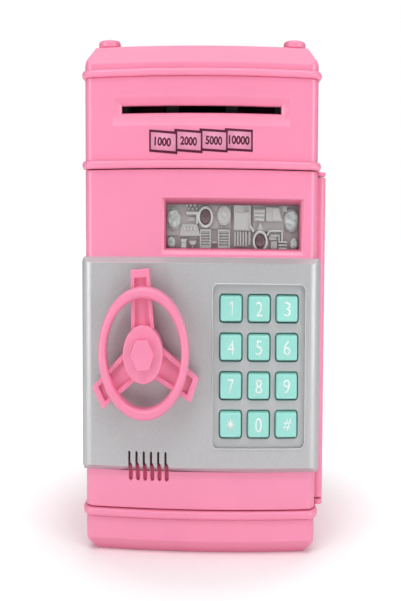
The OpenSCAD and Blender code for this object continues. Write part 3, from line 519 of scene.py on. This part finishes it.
# The lining runs from behind the door's face to the height of the relief's tallest blocks
LINING_FRONT = RELIEF_Y - 4.5 * MM
LINING_BACK = RELIEF_Y - 2.3 * MM
# The lining's colour is painted shade throughout: a shaded pink at its front, darkening to near black
# at its back
LINING_PALE = (0.86, 0.20, 0.34)
LINING_SHADE = (0.13, 0.045, 0.065)

# The batteries' gold ends start at this place along X
GOLD_FROM = 10 * MM

MATERIALS = {
    "pink_plastic": moulded("pink_plastic", PINK),
    "pink_wheel": moulded("pink_wheel", (0.93, 0.265, 0.44), roughness=0.33),
    "pale_plastic": moulded("pale_plastic", (0.80, 0.74, 0.75), roughness=0.5),
    # The grey plastic is set near black: its own dark grey plus painted shade, so the brackets deep in
    # the slot read as shaded
    "grey_plastic": moulded("grey_plastic", (0.055, 0.05, 0.055), roughness=0.6),
    "steel": brushed_steel(),
    "roller_rubber": roller_rubber(),
    "circuit_board": circuit_board(),
    "cell_wrap": cell_wrap(),
    "silver_paint": silver_paint("silver_paint", (0.565, 0.57, 0.58), 0.45),
    "relief_silver": relief_shaded_paint(),
    "lamp_lens": lamp_lens(),
    "mint_keys": moulded("mint_keys", (0.33, 0.75, 0.67), roughness=0.4, variation=0.03),
}
WHITE_INK = moulded("white_ink", (0.84, 0.95, 0.93), roughness=0.5, variation=0.02)
DARK_INK = moulded("dark_ink", (0.11, 0.003, 0.027), roughness=0.6, coat=0.0)
PALE_INK = moulded("pale_ink", (0.88, 0.34, 0.52), roughness=0.45, variation=0.03)
# The rim's silver is lighter than the fascia's: a painted highlight along the keypad's lip
RIM_HIGHLIGHT_PAINT = silver_paint("rim_highlight_paint", (0.66, 0.665, 0.67), 0.42)
CLEAR_DOME = dome_glass()
LINING_SHADED_PAINT = lining_shaded_plastic()


# ---- Making and rounding pieces ----


def add_piece(name, mesh, body, material, replaces=()):
    """Links a piece, puts it on its body, gives it its material and hides the nodes it replaces."""
    piece = bpy.data.objects.new(name, mesh)
    bpy.context.scene.collection.objects.link(piece)
    mesh.materials.clear()
    mesh.materials.append(material)
    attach(piece, body)
    if replaces:
        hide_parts(*replaces)
    return piece


def finish_mesh(name, shape):
    """Turns a bmesh into a smooth-shaded mesh with its faces pointing outwards."""
    bmesh.ops.recalc_face_normals(shape, faces=shape.faces)
    for face in shape.faces:
        face.smooth = True
    mesh = bpy.data.meshes.new(name)
    shape.to_mesh(mesh)
    shape.free()
    return mesh


def add_rounding(piece, width, by_weight=False, segments=3):
    """Rounds the piece's edges and keeps its flat faces flat in the shading."""
    bevel = piece.modifiers.new("rounding", "BEVEL")
    bevel.width = width
    bevel.segments = segments
    bevel.limit_method = "WEIGHT" if by_weight else "ANGLE"
    bevel.angle_limit = SHARP_ANGLE
    bevel.use_clamp_overlap = not by_weight
    bevel.loop_slide = False
    normals = piece.modifiers.new("even_shading", "WEIGHTED_NORMAL")
    normals.keep_sharp = True


def rounded_copy(node, width, share_at=lambda middle: 1.0, material=None):
    """A copy of a CAD node whose outward edges are rounded by width times share_at(place)."""
    source = NODES[node].data
    mesh = bpy.data.meshes.new(node + "_moulding")
    mesh.from_pydata([v.co for v in source.vertices], [], [tuple(p.vertices) for p in source.polygons])
    shape = bmesh.new()
    shape.from_mesh(mesh)
    bmesh.ops.remove_doubles(shape, verts=shape.verts, dist=MERGE_DISTANCE)
    bmesh.ops.dissolve_limit(shape, angle_limit=FLAT_ANGLE, verts=shape.verts, edges=shape.edges)
    shape.normal_update()
    weight = shape.edges.layers.float.new("bevel_weight_edge")
    for edge in shape.edges:
        if len(edge.link_faces) != 2:
            continue
        angle = edge.calc_face_angle_signed()
        if SHARP_ANGLE < angle < KNIFE_ANGLE:
            edge[weight] = share_at((edge.verts[0].co + edge.verts[1].co) / 2)
        if abs(angle) > SHARP_ANGLE and edge[weight] == 0:
            edge.smooth = False
    for face in shape.faces:
        face.smooth = True
    shape.to_mesh(mesh)
    shape.free()
    slot = SLOT_OF[node]
    material = material or MATERIALS[slot]
    piece = add_piece(node + "_moulding", mesh, BODY_OF[node], material, (node,))
    add_rounding(piece, width, by_weight=True)
    return piece


def outset(place):
    """How far a place lies outside the cabinet's walls, seen from above."""
    past_x = abs(place.x) - (HALF_WIDTH - CORNER_R)
    past_y = abs(place.y) - (-FRONT_Y - CORNER_R)
    if past_x > 0 and past_y > 0:
        return math.hypot(past_x, past_y) - CORNER_R
    return max(past_x, past_y) - CORNER_R


def bead_share(middle):
    """The raised bands round fully, every other edge only a little and the underside's least."""
    if middle.z < GROUND_ZONE:
        return GROUND_EDGE
    return 1.0 if outset(middle) > BAND_SHARE * BAND_OUT else SMALL_EDGE


def fascia_share(middle):
    """The fascia's long front edges round fully, inner edges a little and its ends not at all."""
    if abs(middle.x) > HALF_WIDTH - CORNER_R:
        return 0.0
    near_end = min(middle.z - FASCIA_LOW.z, FASCIA_HIGH.z - middle.z) < FASCIA_ZONE
    return 1.0 if near_end and abs(middle.x) < MM else SMALL_EDGE


# ---- Shapes built in mesh code ----

# Steps along each curve of a letter, and the merging of its points before it is scaled to size
LETTER_STEPS = 4
LETTER_MERGE = 1e-5

# A dome's flat tip, as a share of its radius
DOME_TIP = 0.04


def rounded_outline(half_w, half_h, radius, steps=5):
    """Points round a rectangle with round corners, as pairs, anticlockwise."""
    points = []
    for corner, (side_x, side_z) in enumerate([(1, 1), (-1, 1), (-1, -1), (1, -1)]):
        for step in range(steps + 1):
            angle = math.radians(90 * (corner + step / steps))
            points.append((
                side_x * (half_w - radius) + radius * math.cos(angle),
                side_z * (half_h - radius) + radius * math.sin(angle),
            ))
    return points


def add_loft(shape, rings):
    """Joins rings of equally many points into one closed solid."""
    rows = [[shape.verts.new(point) for point in ring] for ring in rings]
    count = len(rows[0])
    for lower, upper in zip(rows, rows[1:]):
        for i in range(count):
            j = (i + 1) % count
            shape.faces.new((lower[i], lower[j], upper[j], upper[i]))
    shape.faces.new(reversed(rows[0]))
    shape.faces.new(rows[-1])


def add_closed_loft(shape, rings):
    """Joins rings into a loop whose last ring meets the first, such as a lip or a washer."""
    rows = [[shape.verts.new(point) for point in ring] for ring in rings]
    count = len(rows[0])
    for lower, upper in zip(rows, rows[1:] + rows[:1]):
        for i in range(count):
            j = (i + 1) % count
            shape.faces.new((lower[i], lower[j], upper[j], upper[i]))


def round_points(radius, steps):
    """Points round a circle, as pairs."""
    turns = [2 * math.pi * i / steps for i in range(steps)]
    return [(radius * math.cos(turn), radius * math.sin(turn)) for turn in turns]


def front_ring(centre, y, points):
    """A ring of points that faces the front, about centre, at depth y."""
    return [Vector((centre.x + x, y, centre.z + z)) for x, z in points]


def add_prism(shape, centre, base_y, rise, points):
    """A prism on the plane base_y that stands rise towards the front."""
    add_loft(shape, [front_ring(centre, base_y, points), front_ring(centre, base_y - rise, points)])


def add_turned(shape, centre, base_y, profile, steps=32):
    """A solid turned about Y: profile pairs each radius with its rise towards the front."""
    rings = [
        front_ring(centre, base_y - rise, round_points(radius, steps)) for radius, rise in profile
    ]
    add_loft(shape, rings)


def dome_profile(radius, rise, lip, steps=6):
    """A dome on a low lip."""
    profile = [(radius, 0), (radius, lip)]
    for step in range(1, steps):
        angle = math.radians(90 * step / steps)
        profile.append((radius * math.cos(angle), lip + (rise - lip) * math.sin(angle)))
    return profile + [(radius * DOME_TIP, rise)]


def text_mesh(text, width, height, thickness, shear=0.0, bold=0.0):
    """Flat sans lettering as a solid mesh, width by height, centred, facing -Y."""
    curve = bpy.data.curves.new("lettering", "FONT")
    curve.body = text
    curve.resolution_u = LETTER_STEPS
    curve.shear = shear
    curve.offset = bold
    holder = bpy.data.objects.new("lettering", curve)
    bpy.context.scene.collection.objects.link(holder)
    bpy.context.view_layer.update()
    evaluated = holder.evaluated_get(bpy.context.evaluated_depsgraph_get())
    mesh = bpy.data.meshes.new_from_object(evaluated)
    bpy.data.objects.remove(holder)
    shape = bmesh.new()
    shape.from_mesh(mesh)
    bmesh.ops.remove_doubles(shape, verts=shape.verts, dist=LETTER_MERGE)
    low = Vector([min(v.co[i] for v in shape.verts) for i in range(3)])
    high = Vector([max(v.co[i] for v in shape.verts) for i in range(3)])
    middle = (low + high) / 2
    scale_x = width / (high.x - low.x)
    scale_z = height / (high.y - low.y)
    for vert in shape.verts:
        x = vert.co.x - middle.x
        z = vert.co.y - middle.y
        vert.co = Vector((x * scale_x, 0, z * scale_z))
    extruded = bmesh.ops.extrude_face_region(shape, geom=shape.faces[:])
    for part in extruded["geom"]:
        if isinstance(part, bmesh.types.BMVert):
            part.co.y -= thickness
    return finish_mesh("lettering", shape)


def joined(name, meshes_and_places):
    """One mesh from several, each put at its place."""
    shape = bmesh.new()
    for mesh, matrix in meshes_and_places:
        part = mesh.copy()
        part.transform(matrix)
        shape.from_mesh(part)
        bpy.data.meshes.remove(part)
    mesh = bpy.data.meshes.new(name)
    shape.to_mesh(mesh)
    shape.free()
    return mesh


# ---- Keys ----

KEYS = ["1", "2", "3", "4", "5", "6", "7", "8", "9", "star", "0", "hash"]
KEY_FLANGE = 0.8 * MM
KEY_FLANGE_T = 1.2 * MM
KEY_CORNER = 1.4 * MM
KEY_CORNER_LEAST = 0.6 * MM
KEY_EDGE = 0.75 * MM
KEY_EDGE_STEPS = 6
KEY_DRAFT = 0.4 * MM
DIGIT_H = 5.6 * MM
DIGIT_W = 3.8 * MM
HASH_W = 4.6 * MM
HASH_H = 4.8 * MM
HASH_SHEAR = 0.25
HASH_RIGHT = 0.4 * MM
STAR_POINTS = 8
STAR_R = 3.0 * MM
STAR_WAIST = 0.38
INK_T = 0.05 * MM

# The digit 1, from its centre
BAR_LEFT = 0.1 * MM
BAR_RIGHT = 0.9 * MM
FLAG_LEFT = -1.3 * MM
FLAG_DROP = 1.1 * MM
FLAG_T = 0.8 * MM
FLAG_ROOT_T = 1.1 * MM


def key_cap(key):
    """A key with its flange, drafted sides and a softly rounded front. Gives its place."""
    low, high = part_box("key_" + key)
    centre = (low + high) / 2
    half_w = (high.x - low.x) / 2
    half_h = (high.z - low.z) / 2
    shoulder = high.y - KEY_FLANGE_T
    sections = [(0, high.y), (0, shoulder), (KEY_FLANGE, shoulder)]
    for step in range(KEY_EDGE_STEPS + 1):
        angle = math.radians(90 * step / KEY_EDGE_STEPS)
        inset = KEY_FLANGE + KEY_DRAFT + KEY_EDGE * (1 - math.cos(angle))
        sections.append((inset, low.y + KEY_EDGE * (1 - math.sin(angle))))
    shape = bmesh.new()
    rings = []
    for inset, y in sections:
        radius = max(KEY_CORNER + KEY_FLANGE - inset, KEY_CORNER_LEAST)
        points = rounded_outline(half_w - inset, half_h - inset, radius)
        rings.append(front_ring(centre, y, points))
    add_loft(shape, rings)
    name = "keycap_" + key
    node = "key_" + key
    mesh = finish_mesh(name, shape)
    piece = add_piece(name, mesh, node, MATERIALS["mint_keys"], (node,))
    piece.modifiers.new("even_shading", "WEIGHTED_NORMAL")
    return centre, low.y


def star_mesh():
    """A flat star with long thin points."""
    points = []
    for i in range(2 * STAR_POINTS):
        angle = math.pi * (i / STAR_POINTS + 0.5)
        radius = STAR_R * (STAR_WAIST if i % 2 else 1)
        points.append((radius * math.cos(angle), radius * math.sin(angle)))
    shape = bmesh.new()
    add_prism(shape, Vector(), 0, INK_T, points)
    return finish_mesh("star", shape)


def one_mesh():
    """The digit 1: an upright bar with a flag."""
    top = DIGIT_H / 2
    flag_top = top - FLAG_DROP
    points = [
        (BAR_RIGHT, -top),
        (BAR_RIGHT, top),
        (BAR_LEFT, top),
        (FLAG_LEFT, flag_top),
        (FLAG_LEFT, flag_top - FLAG_T),
        (BAR_LEFT, top - FLAG_ROOT_T),
        (BAR_LEFT, -top),
    ]
    shape = bmesh.new()
    add_prism(shape, Vector(), 0, INK_T, points)
    return finish_mesh("one", shape)


def key_sign(key, centre, front_y):
    """The white sign on a key's face."""
    place = Vector((centre.x, front_y, centre.z))
    if key == "star":
        mesh = star_mesh()
    elif key == "1":
        mesh = one_mesh()
    elif key == "hash":
        mesh = text_mesh("#", HASH_W, HASH_H, INK_T, shear=HASH_SHEAR)
        place.x += HASH_RIGHT
    else:
        mesh = text_mesh(key, DIGIT_W, DIGIT_H, INK_T)
    mesh.transform(Matrix.Translation(place))
    mesh.name = "sign_" + key
    add_piece("sign_" + key, mesh, "key_" + key, WHITE_INK)


def add_keys():
    """The twelve keys with their signs."""
    for key in KEYS:
        centre, front_y = key_cap(key)
        key_sign(key, centre, front_y)


# ---- Banknote signs under the slot ----

# Each note starts NOTE_STEP right of the last one, NOTE_RISE higher and NOTE_TILT_STEP less tilted
NOTES = ["1000", "2000", "5000", "10000"]
NOTE_W = 15.4 * MM
NOTE_H = 8.2 * MM
NOTE_STEP = 13.8 * MM
NOTE_RISE = 0.17 * MM
NOTE_TILT = math.radians(3.5)
NOTE_TILT_STEP = math.radians(0.65)
NOTE_LINE = 0.9 * MM
NOTE_LEFT = -28.5 * MM
NOTE_TOP = 161.7 * MM
NOTE_LAYER = 0.04 * MM
NOTE_DIGIT_W = 2.3 * MM
NOTE_DIGIT_H = 3.3 * MM
NOTE_BOLD = 0.042


def turned_box(left, right, top, bottom, tilt):
    """A turned rectangle: x runs along the note and z down, from the note's top left corner."""
    corners = [(left, -top), (left, -bottom), (right, -bottom), (right, -top)]
    return [(x, z * math.cos(tilt) - x * math.sin(tilt)) for x, z in corners]


def add_note_signs():
    """Four overlapping banknote outlines with their values, printed on the head."""
    ink = bmesh.new()
    faces = bmesh.new()
    values = []
    for i, text in enumerate(NOTES):
        tilt = NOTE_TILT - NOTE_TILT_STEP * i
        corner = Vector((NOTE_LEFT + NOTE_STEP * i, 0, NOTE_TOP + NOTE_RISE * i))
        layer = NOTE_LAYER * 2 * (len(NOTES) - i)
        hidden = NOTE_W - NOTE_STEP if i else 0
        add_prism(ink, corner, FRONT_Y, layer, turned_box(0, NOTE_W, 0, NOTE_H, tilt))
        left = hidden + (0 if i else NOTE_LINE)
        face = turned_box(left, NOTE_W - NOTE_LINE, NOTE_LINE, NOTE_H - NOTE_LINE, tilt)
        add_prism(faces, corner, FRONT_Y, layer + NOTE_LAYER, face)
        width = NOTE_DIGIT_W * len(text)
        lettering = text_mesh(text, width, NOTE_DIGIT_H, NOTE_LAYER, bold=NOTE_BOLD)
        slant = Matrix.Rotation(tilt, 4, "Y")
        place = corner + slant @ Vector(((left + NOTE_W - NOTE_LINE) / 2, 0, -NOTE_H / 2))
        place.y = FRONT_Y - layer - NOTE_LAYER
        values.append((lettering, Matrix.Translation(place) @ slant))
    add_piece("note_outlines", finish_mesh("note_outlines", ink), "cabinet", DARK_INK)
    add_piece("note_faces", finish_mesh("note_faces", faces), "cabinet", PALE_INK)
    add_piece("note_values", joined("note_values", values), "cabinet", DARK_INK)


# ---- Rim round the keypad ----

# The recess's edge lies KEYPAD_MARGIN inside the membrane's, and the rim starts RIM_IN inside it
KEYPAD_MARGIN = 1.8 * MM
KEYPAD_R = 3 * MM
RIM_W = 0.6 * MM
RIM_IN = 0.45 * MM
RIM_OUT = 0.3 * MM

# The rim's section: shares of its width, and of its height above the fascia
RIM_SECTION = [(0, -3), (0, 0.5), (0.33, 1), (0.67, 1), (1, 0.33), (1, -3)]


def add_keypad_rim():
    """A thin raised lip round the keypad's recess."""
    low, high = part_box("keypad_membrane")
    centre = (low + high) / 2
    half_w = (high.x - low.x) / 2 - KEYPAD_MARGIN
    half_h = (high.z - low.z) / 2 - KEYPAD_MARGIN
    rings = []
    for share, out in RIM_SECTION:
        grow = share * RIM_W - RIM_IN
        points = rounded_outline(half_w + grow, half_h + grow, KEYPAD_R + grow)
        rings.append(front_ring(centre, FASCIA_LOW.y - out * RIM_OUT, points))
    shape = bmesh.new()
    add_closed_loft(shape, rings)
    mesh = finish_mesh("keypad_rim", shape)
    add_piece("keypad_rim", mesh, "door", RIM_HIGHLIGHT_PAINT, ())


# ---- Lining of the window ----

LINING_TOP = 1.9 * MM
LINING_SIDE = 1.0 * MM
LINING_FOOT = 0.4 * MM
LINING_R = 0.6 * MM
LINING_BED = 0.2 * MM
LINING_STEPS = 4
LINING_CURVE = 0.7
LINING_EDGE = 0.08 * MM


def lining_ring(share, y, bed=0):
    """The lining's outline when it has closed in by share of its full width."""
    top = share * LINING_TOP - bed
    foot = share * LINING_FOOT - bed
    side = share * LINING_SIDE - bed
    half_w = (WINDOW_HIGH.x - WINDOW_LOW.x) / 2 - WINDOW_MARGIN - side
    half_h = (WINDOW_HIGH.z - WINDOW_LOW.z) / 2 - WINDOW_MARGIN - (top + foot) / 2
    centre = WINDOW - Vector((0, 0, (top - foot) / 2))
    return front_ring(centre, y, rounded_outline(half_w, half_h, LINING_R))


def add_window_lining():
    """Curved walls that lead in to the relief and are widest at the top."""
    rings = [lining_ring(0, LINING_BACK, LINING_BED), lining_ring(0, LINING_FRONT, LINING_BED)]
    for step in range(LINING_STEPS + 1):
        share = step / LINING_STEPS
        y = LINING_FRONT + (LINING_BACK - LINING_FRONT) * share**LINING_CURVE
        rings.append(lining_ring(share, y))
    shape = bmesh.new()
    add_closed_loft(shape, rings)
    mesh = finish_mesh("window_lining", shape)
    piece = add_piece("window_lining", mesh, "door", LINING_SHADED_PAINT, ())
    add_rounding(piece, LINING_EDGE)


# ---- Machine relief behind the window ----

RELIEF_CORNER = 0.3 * MM
RELIEF_EDGE = 0.14 * MM

# All in millimetres: rises above the relief's plate, then places from the window's centre
PANEL = 0.5
LOW = 1.0
MID = 1.5
TALL = 2.1
LAMPS = [(-15.2, 2.8), (15.4, -6.2)]
BIG_DOMES = [(-33.0, 2.0), (33.0, 2.0)]
SMALL_DOMES = [(-34.3, -7.0), (34.5, -7.0)]
GAUGE_R = 4.3
GAUGE_SIDES = 40
LENS_R = 2.8
LENS_RISE = 1.6
BIG_DOME_R = 4.1
BIG_DOME_RISE = 2.4
DOME_COLLAR = 0.3
SMALL_DOME_R = 2.4
SMALL_DOME_RISE = 2.2
LIP = 0.9
BAR = 0.8
CUT_SIDES = 11
ROUND_SIDES = 32
DISC_SIDES = 36

# A gauge's ring: shares of its radius, and rises
GAUGE_SECTION = [(0.66, 0), (1, 0), (1, 1.5), (0.94, 2.0), (0.84, 2.2), (0.75, 2.0), (0.69, 1.5)]


def relief_place(u, w):
    """A place on the relief, in millimetres right of and above the window's centre."""
    return Vector((WINDOW.x + u * MM, RELIEF_Y, WINDOW.z + w * MM))


def add_plate(shape, corners, rise):
    """A raised plate with any outline, its corners given from the window's centre."""
    add_prism(shape, relief_place(0, 0), RELIEF_Y, rise * MM, [(u * MM, w * MM) for u, w in corners])


def add_block(shape, u, w, wide, high, rise, turn=0.0, taper=1.0):
    """A block centred at (u, w): taper is its top width over its bottom width."""
    cosine = math.cos(math.radians(turn))
    sine = math.sin(math.radians(turn))
    corners = []
    for side, end, share in [(1, 1, taper), (-1, 1, taper), (-1, -1, 1), (1, -1, 1)]:
        along = side * wide / 2 * share
        up = end * high / 2
        corners.append((u + along * cosine - up * sine, w + along * sine + up * cosine))
    add_plate(shape, corners, rise)


def add_disc(shape, u, w, radius, rise, steps=24):
    """A low round boss."""
    profile = [(radius * MM, 0), (radius * MM, rise * MM)]
    add_turned(shape, relief_place(u, w), RELIEF_Y, profile, steps)


def add_frame(shape, u, w, wide, high, rise, bar=BAR):
    """Four bars round an open rectangle."""
    for side in (-1, 1):
        add_block(shape, u + side * (wide - bar) / 2, w, bar, high, rise)
        add_block(shape, u, w + side * (high - bar) / 2, wide - 2 * bar, bar, rise)


def add_rows(shape, u, w, wide, high, count, rise):
    """Level bars that fill half of a rectangle's height."""
    for i in range(count):
        add_block(shape, u, w + high * ((i + 0.5) / count - 0.5), wide, high / count / 2, rise)


def add_columns(shape, u, w, wide, high, count, rise):
    """Upright bars that fill half of a rectangle's width."""
    for i in range(count):
        add_block(shape, u + wide * ((i + 0.5) / count - 0.5), w, wide / count / 2, high, rise)


def add_gauge(shape, u, w):
    """A ring with a rounded top, round a lamp."""
    centre = relief_place(u, w)
    rings = []
    for share, rise in GAUGE_SECTION:
        points = round_points(GAUGE_R * share * MM, GAUGE_SIDES)
        rings.append(front_ring(centre, RELIEF_Y - rise * MM, points))
    add_closed_loft(shape, rings)


def machine_desk(shape):
    """The left end: a desk with a row of switches under a screen, and a cup on a stand."""
    add_block(shape, -28.4, 2.5, 18.0, 13.6, PANEL)
    add_block(shape, -23.9, -2.2, 11.6, 4.4, MID, taper=0.72)
    add_columns(shape, -23.9, -1.6, 7.6, 1.5, 4, TALL)
    add_block(shape, -22.4, 4.2, 6.8, 1.1, TALL)
    add_block(shape, -19.8, 2.0, 1.3, 3.6, TALL)
    add_block(shape, -23.0, 2.0, 4.4, 1.6, LOW)
    for u in (-25.6, -23.4, -21.2):
        add_block(shape, u, 7.3, 1.0, 1.0, TALL, turn=45)
        add_block(shape, u + 1.1, 6.0, 0.8, 0.8, MID, turn=45)
    add_block(shape, -27.2, -8.2, 3.0, 2.4, TALL, taper=0.8)
    add_block(shape, -27.2, -6.2, 2.4, 1.4, TALL, taper=1.5)
    add_block(shape, -22.2, -7.0, 2.6, 1.6, MID, taper=1.6)
    add_block(shape, -22.2, -8.6, 1.2, 1.4, LOW)


def machine_ladders(shape):
    """The left middle: a gauge and a dial over two ladders."""
    add_block(shape, -10.2, 3.9, 18.0, 11.2, PANEL)
    add_gauge(shape, *LAMPS[0])
    add_disc(shape, -4.8, 3.4, 3.8, MID, DISC_SIDES)
    add_disc(shape, -4.8, 3.4, 3.1, MID + 0.2, DISC_SIDES)
    add_block(shape, -4.8, 3.8, 2.2, 2.2, TALL, turn=45)
    add_columns(shape, -5.0, -0.9, 6.2, 0.9, 5, LOW)
    for u, wide in [(-15.2, 6.2), (-4.9, 6.7)]:
        add_block(shape, u, -5.5, wide, 7.4, PANEL)
        add_frame(shape, u, -5.5, wide, 7.4, MID)
        add_rows(shape, u, -5.5, wide - 2 * BAR, 6.4, 6, LOW + 0.2)
    add_block(shape, -10.2, -6.8, 3.0, 0.8, LOW)


def machine_plant(shape):
    """The right middle: a tall plate over ribs, two boxes, and a gauge under a cone."""
    add_block(shape, 5.3, 2.6, 9.4, 9.6, MID)
    add_block(shape, 4.6, 1.4, 7.6, 6.2, MID + 0.2)
    add_rows(shape, 7.6, 5.8, 3.4, 2.0, 2, MID)
    add_block(shape, 4.5, -5.4, 7.8, 6.0, PANEL)
    add_columns(shape, 4.4, -5.3, 7.6, 5.6, 5, MID)
    add_block(shape, 9.4, -5.0, 1.2, 5.4, LOW)
    add_block(shape, 10.6, -1.3, 3.4, 1.2, TALL + 0.2, turn=-42)
    add_block(shape, 20.0, 2.6, 17.6, 10.2, PANEL)
    add_block(shape, 14.9, 3.8, 5.6, 4.8, MID, taper=1.2)
    add_rows(shape, 14.9, 3.7, 5.6, 4.6, 3, TALL)
    add_plate(shape, [(18.5, 1.5), (27.8, 1.5), (25.9, 6.8), (18.5, 6.8)], MID)
    add_plate(shape, [(22.1, 1.9), (27.0, 1.9), (25.4, 6.4), (22.1, 6.4)], MID + 0.25)
    add_plate(shape, [(13.9, -1.8), (17.0, -1.8), (15.9, 0.9), (15.0, 0.9)], MID)
    add_gauge(shape, *LAMPS[1])


def machine_pipes(shape):
    """The right end: a bent pipe over a box and a stack."""
    add_block(shape, 23.8, -3.9, 7.6, 3.8, PANEL)
    add_block(shape, 23.9, -2.1, 7.8, BAR, TALL)
    add_block(shape, 27.6, -4.0, BAR, 4.2, TALL)
    add_block(shape, 19.9, -3.0, 2.4, BAR, TALL, turn=50)
    add_block(shape, 23.6, -3.9, 5.0, BAR, MID)
    add_block(shape, 26.0, -4.9, BAR, 2.6, MID)
    add_block(shape, 22.4, -4.9, 4.4, 1.4, LOW)
    add_block(shape, 23.2, -7.7, 3.6, 3.4, LOW)
    add_rows(shape, 28.0, -7.5, 4.6, 3.6, 3, TALL)
    add_block(shape, 29.2, 6.8, 2.4, 3.2, LOW)
    add_block(shape, 2.0, 8.7, 62.0, 0.8, LOW)


def add_domes(name, places, radius, rise, sides, material, replaced):
    """Low domes on the relief."""
    profile = [(r * MM, d * MM) for r, d in dome_profile(radius, rise, LIP)]
    shape = bmesh.new()
    for u, w in places:
        add_turned(shape, relief_place(u, w), RELIEF_Y, profile, sides)
    return add_piece(name, finish_mesh(name, shape), "door", material, replaced)


def add_relief():
    """The back plate with the machine, and the domes and lamps set in it."""
    shape = bmesh.new()
    half_w = (WINDOW_HIGH.x - WINDOW_LOW.x) / 2
    half_h = (WINDOW_HIGH.z - WINDOW_LOW.z) / 2
    outline = rounded_outline(half_w, half_h, RELIEF_CORNER, steps=1)
    add_prism(shape, WINDOW, WINDOW_HIGH.y, RELIEF_T, outline)
    machine_desk(shape)
    machine_ladders(shape)
    machine_plant(shape)
    machine_pipes(shape)
    for u, w in BIG_DOMES:
        add_disc(shape, u, w, BIG_DOME_R + DOME_COLLAR, LOW, DISC_SIDES)
    piece = add_piece(
        "machine_relief", finish_mesh("machine_relief", shape), "door",
        MATERIALS["relief_silver"], ("relief_plate",),
    )
    add_rounding(piece, RELIEF_EDGE, segments=2)
    for name, places, radius, rise in [
        ("big_domes", BIG_DOMES, BIG_DOME_R, BIG_DOME_RISE),
        ("small_domes", SMALL_DOMES, SMALL_DOME_R, SMALL_DOME_RISE),
    ]:
        domes = add_domes(name, places, radius, rise, CUT_SIDES, CLEAR_DOME, ())
        domes.data.shade_flat()
    lens = MATERIALS["lamp_lens"]
    replaced = ("indicator_lamps",)
    add_domes("lamp_lenses", LAMPS, LENS_R, LENS_RISE, ROUND_SIDES, lens, replaced)


# ---- Putting it together ----


def paint_nodes():
    """Gives every CAD node the material of its slot."""
    for node, slot in SLOT_OF.items():
        data = NODES[node].data
        data.materials.clear()
        data.materials.append(MATERIALS[slot])


def add_shells():
    """Rounded copies of the moulded shells."""
    for node in ("roof_cap", "head_housing", "plinth_plate", "base_tray"):
        rounded_copy(node, BEAD, bead_share)
    rounded_copy("corner_plugs", PLUG_EDGE)
    rounded_copy("door_shell", SHELL_EDGE, material=door_shaded_plastic())
    rounded_copy("cabinet_shell", SHELL_EDGE)
    rounded_copy("silver_fascia", FASCIA_EDGE, fascia_share)
    rounded_copy("battery_cover", COVER_EDGE)
    rounded_copy("handwheel", WHEEL_EDGE)
    rounded_copy("hub_cap", HUB_EDGE)


set_scene()
paint_nodes()
add_shells()
add_keys()
add_note_signs()
add_keypad_rim()
add_window_lining()
add_relief()
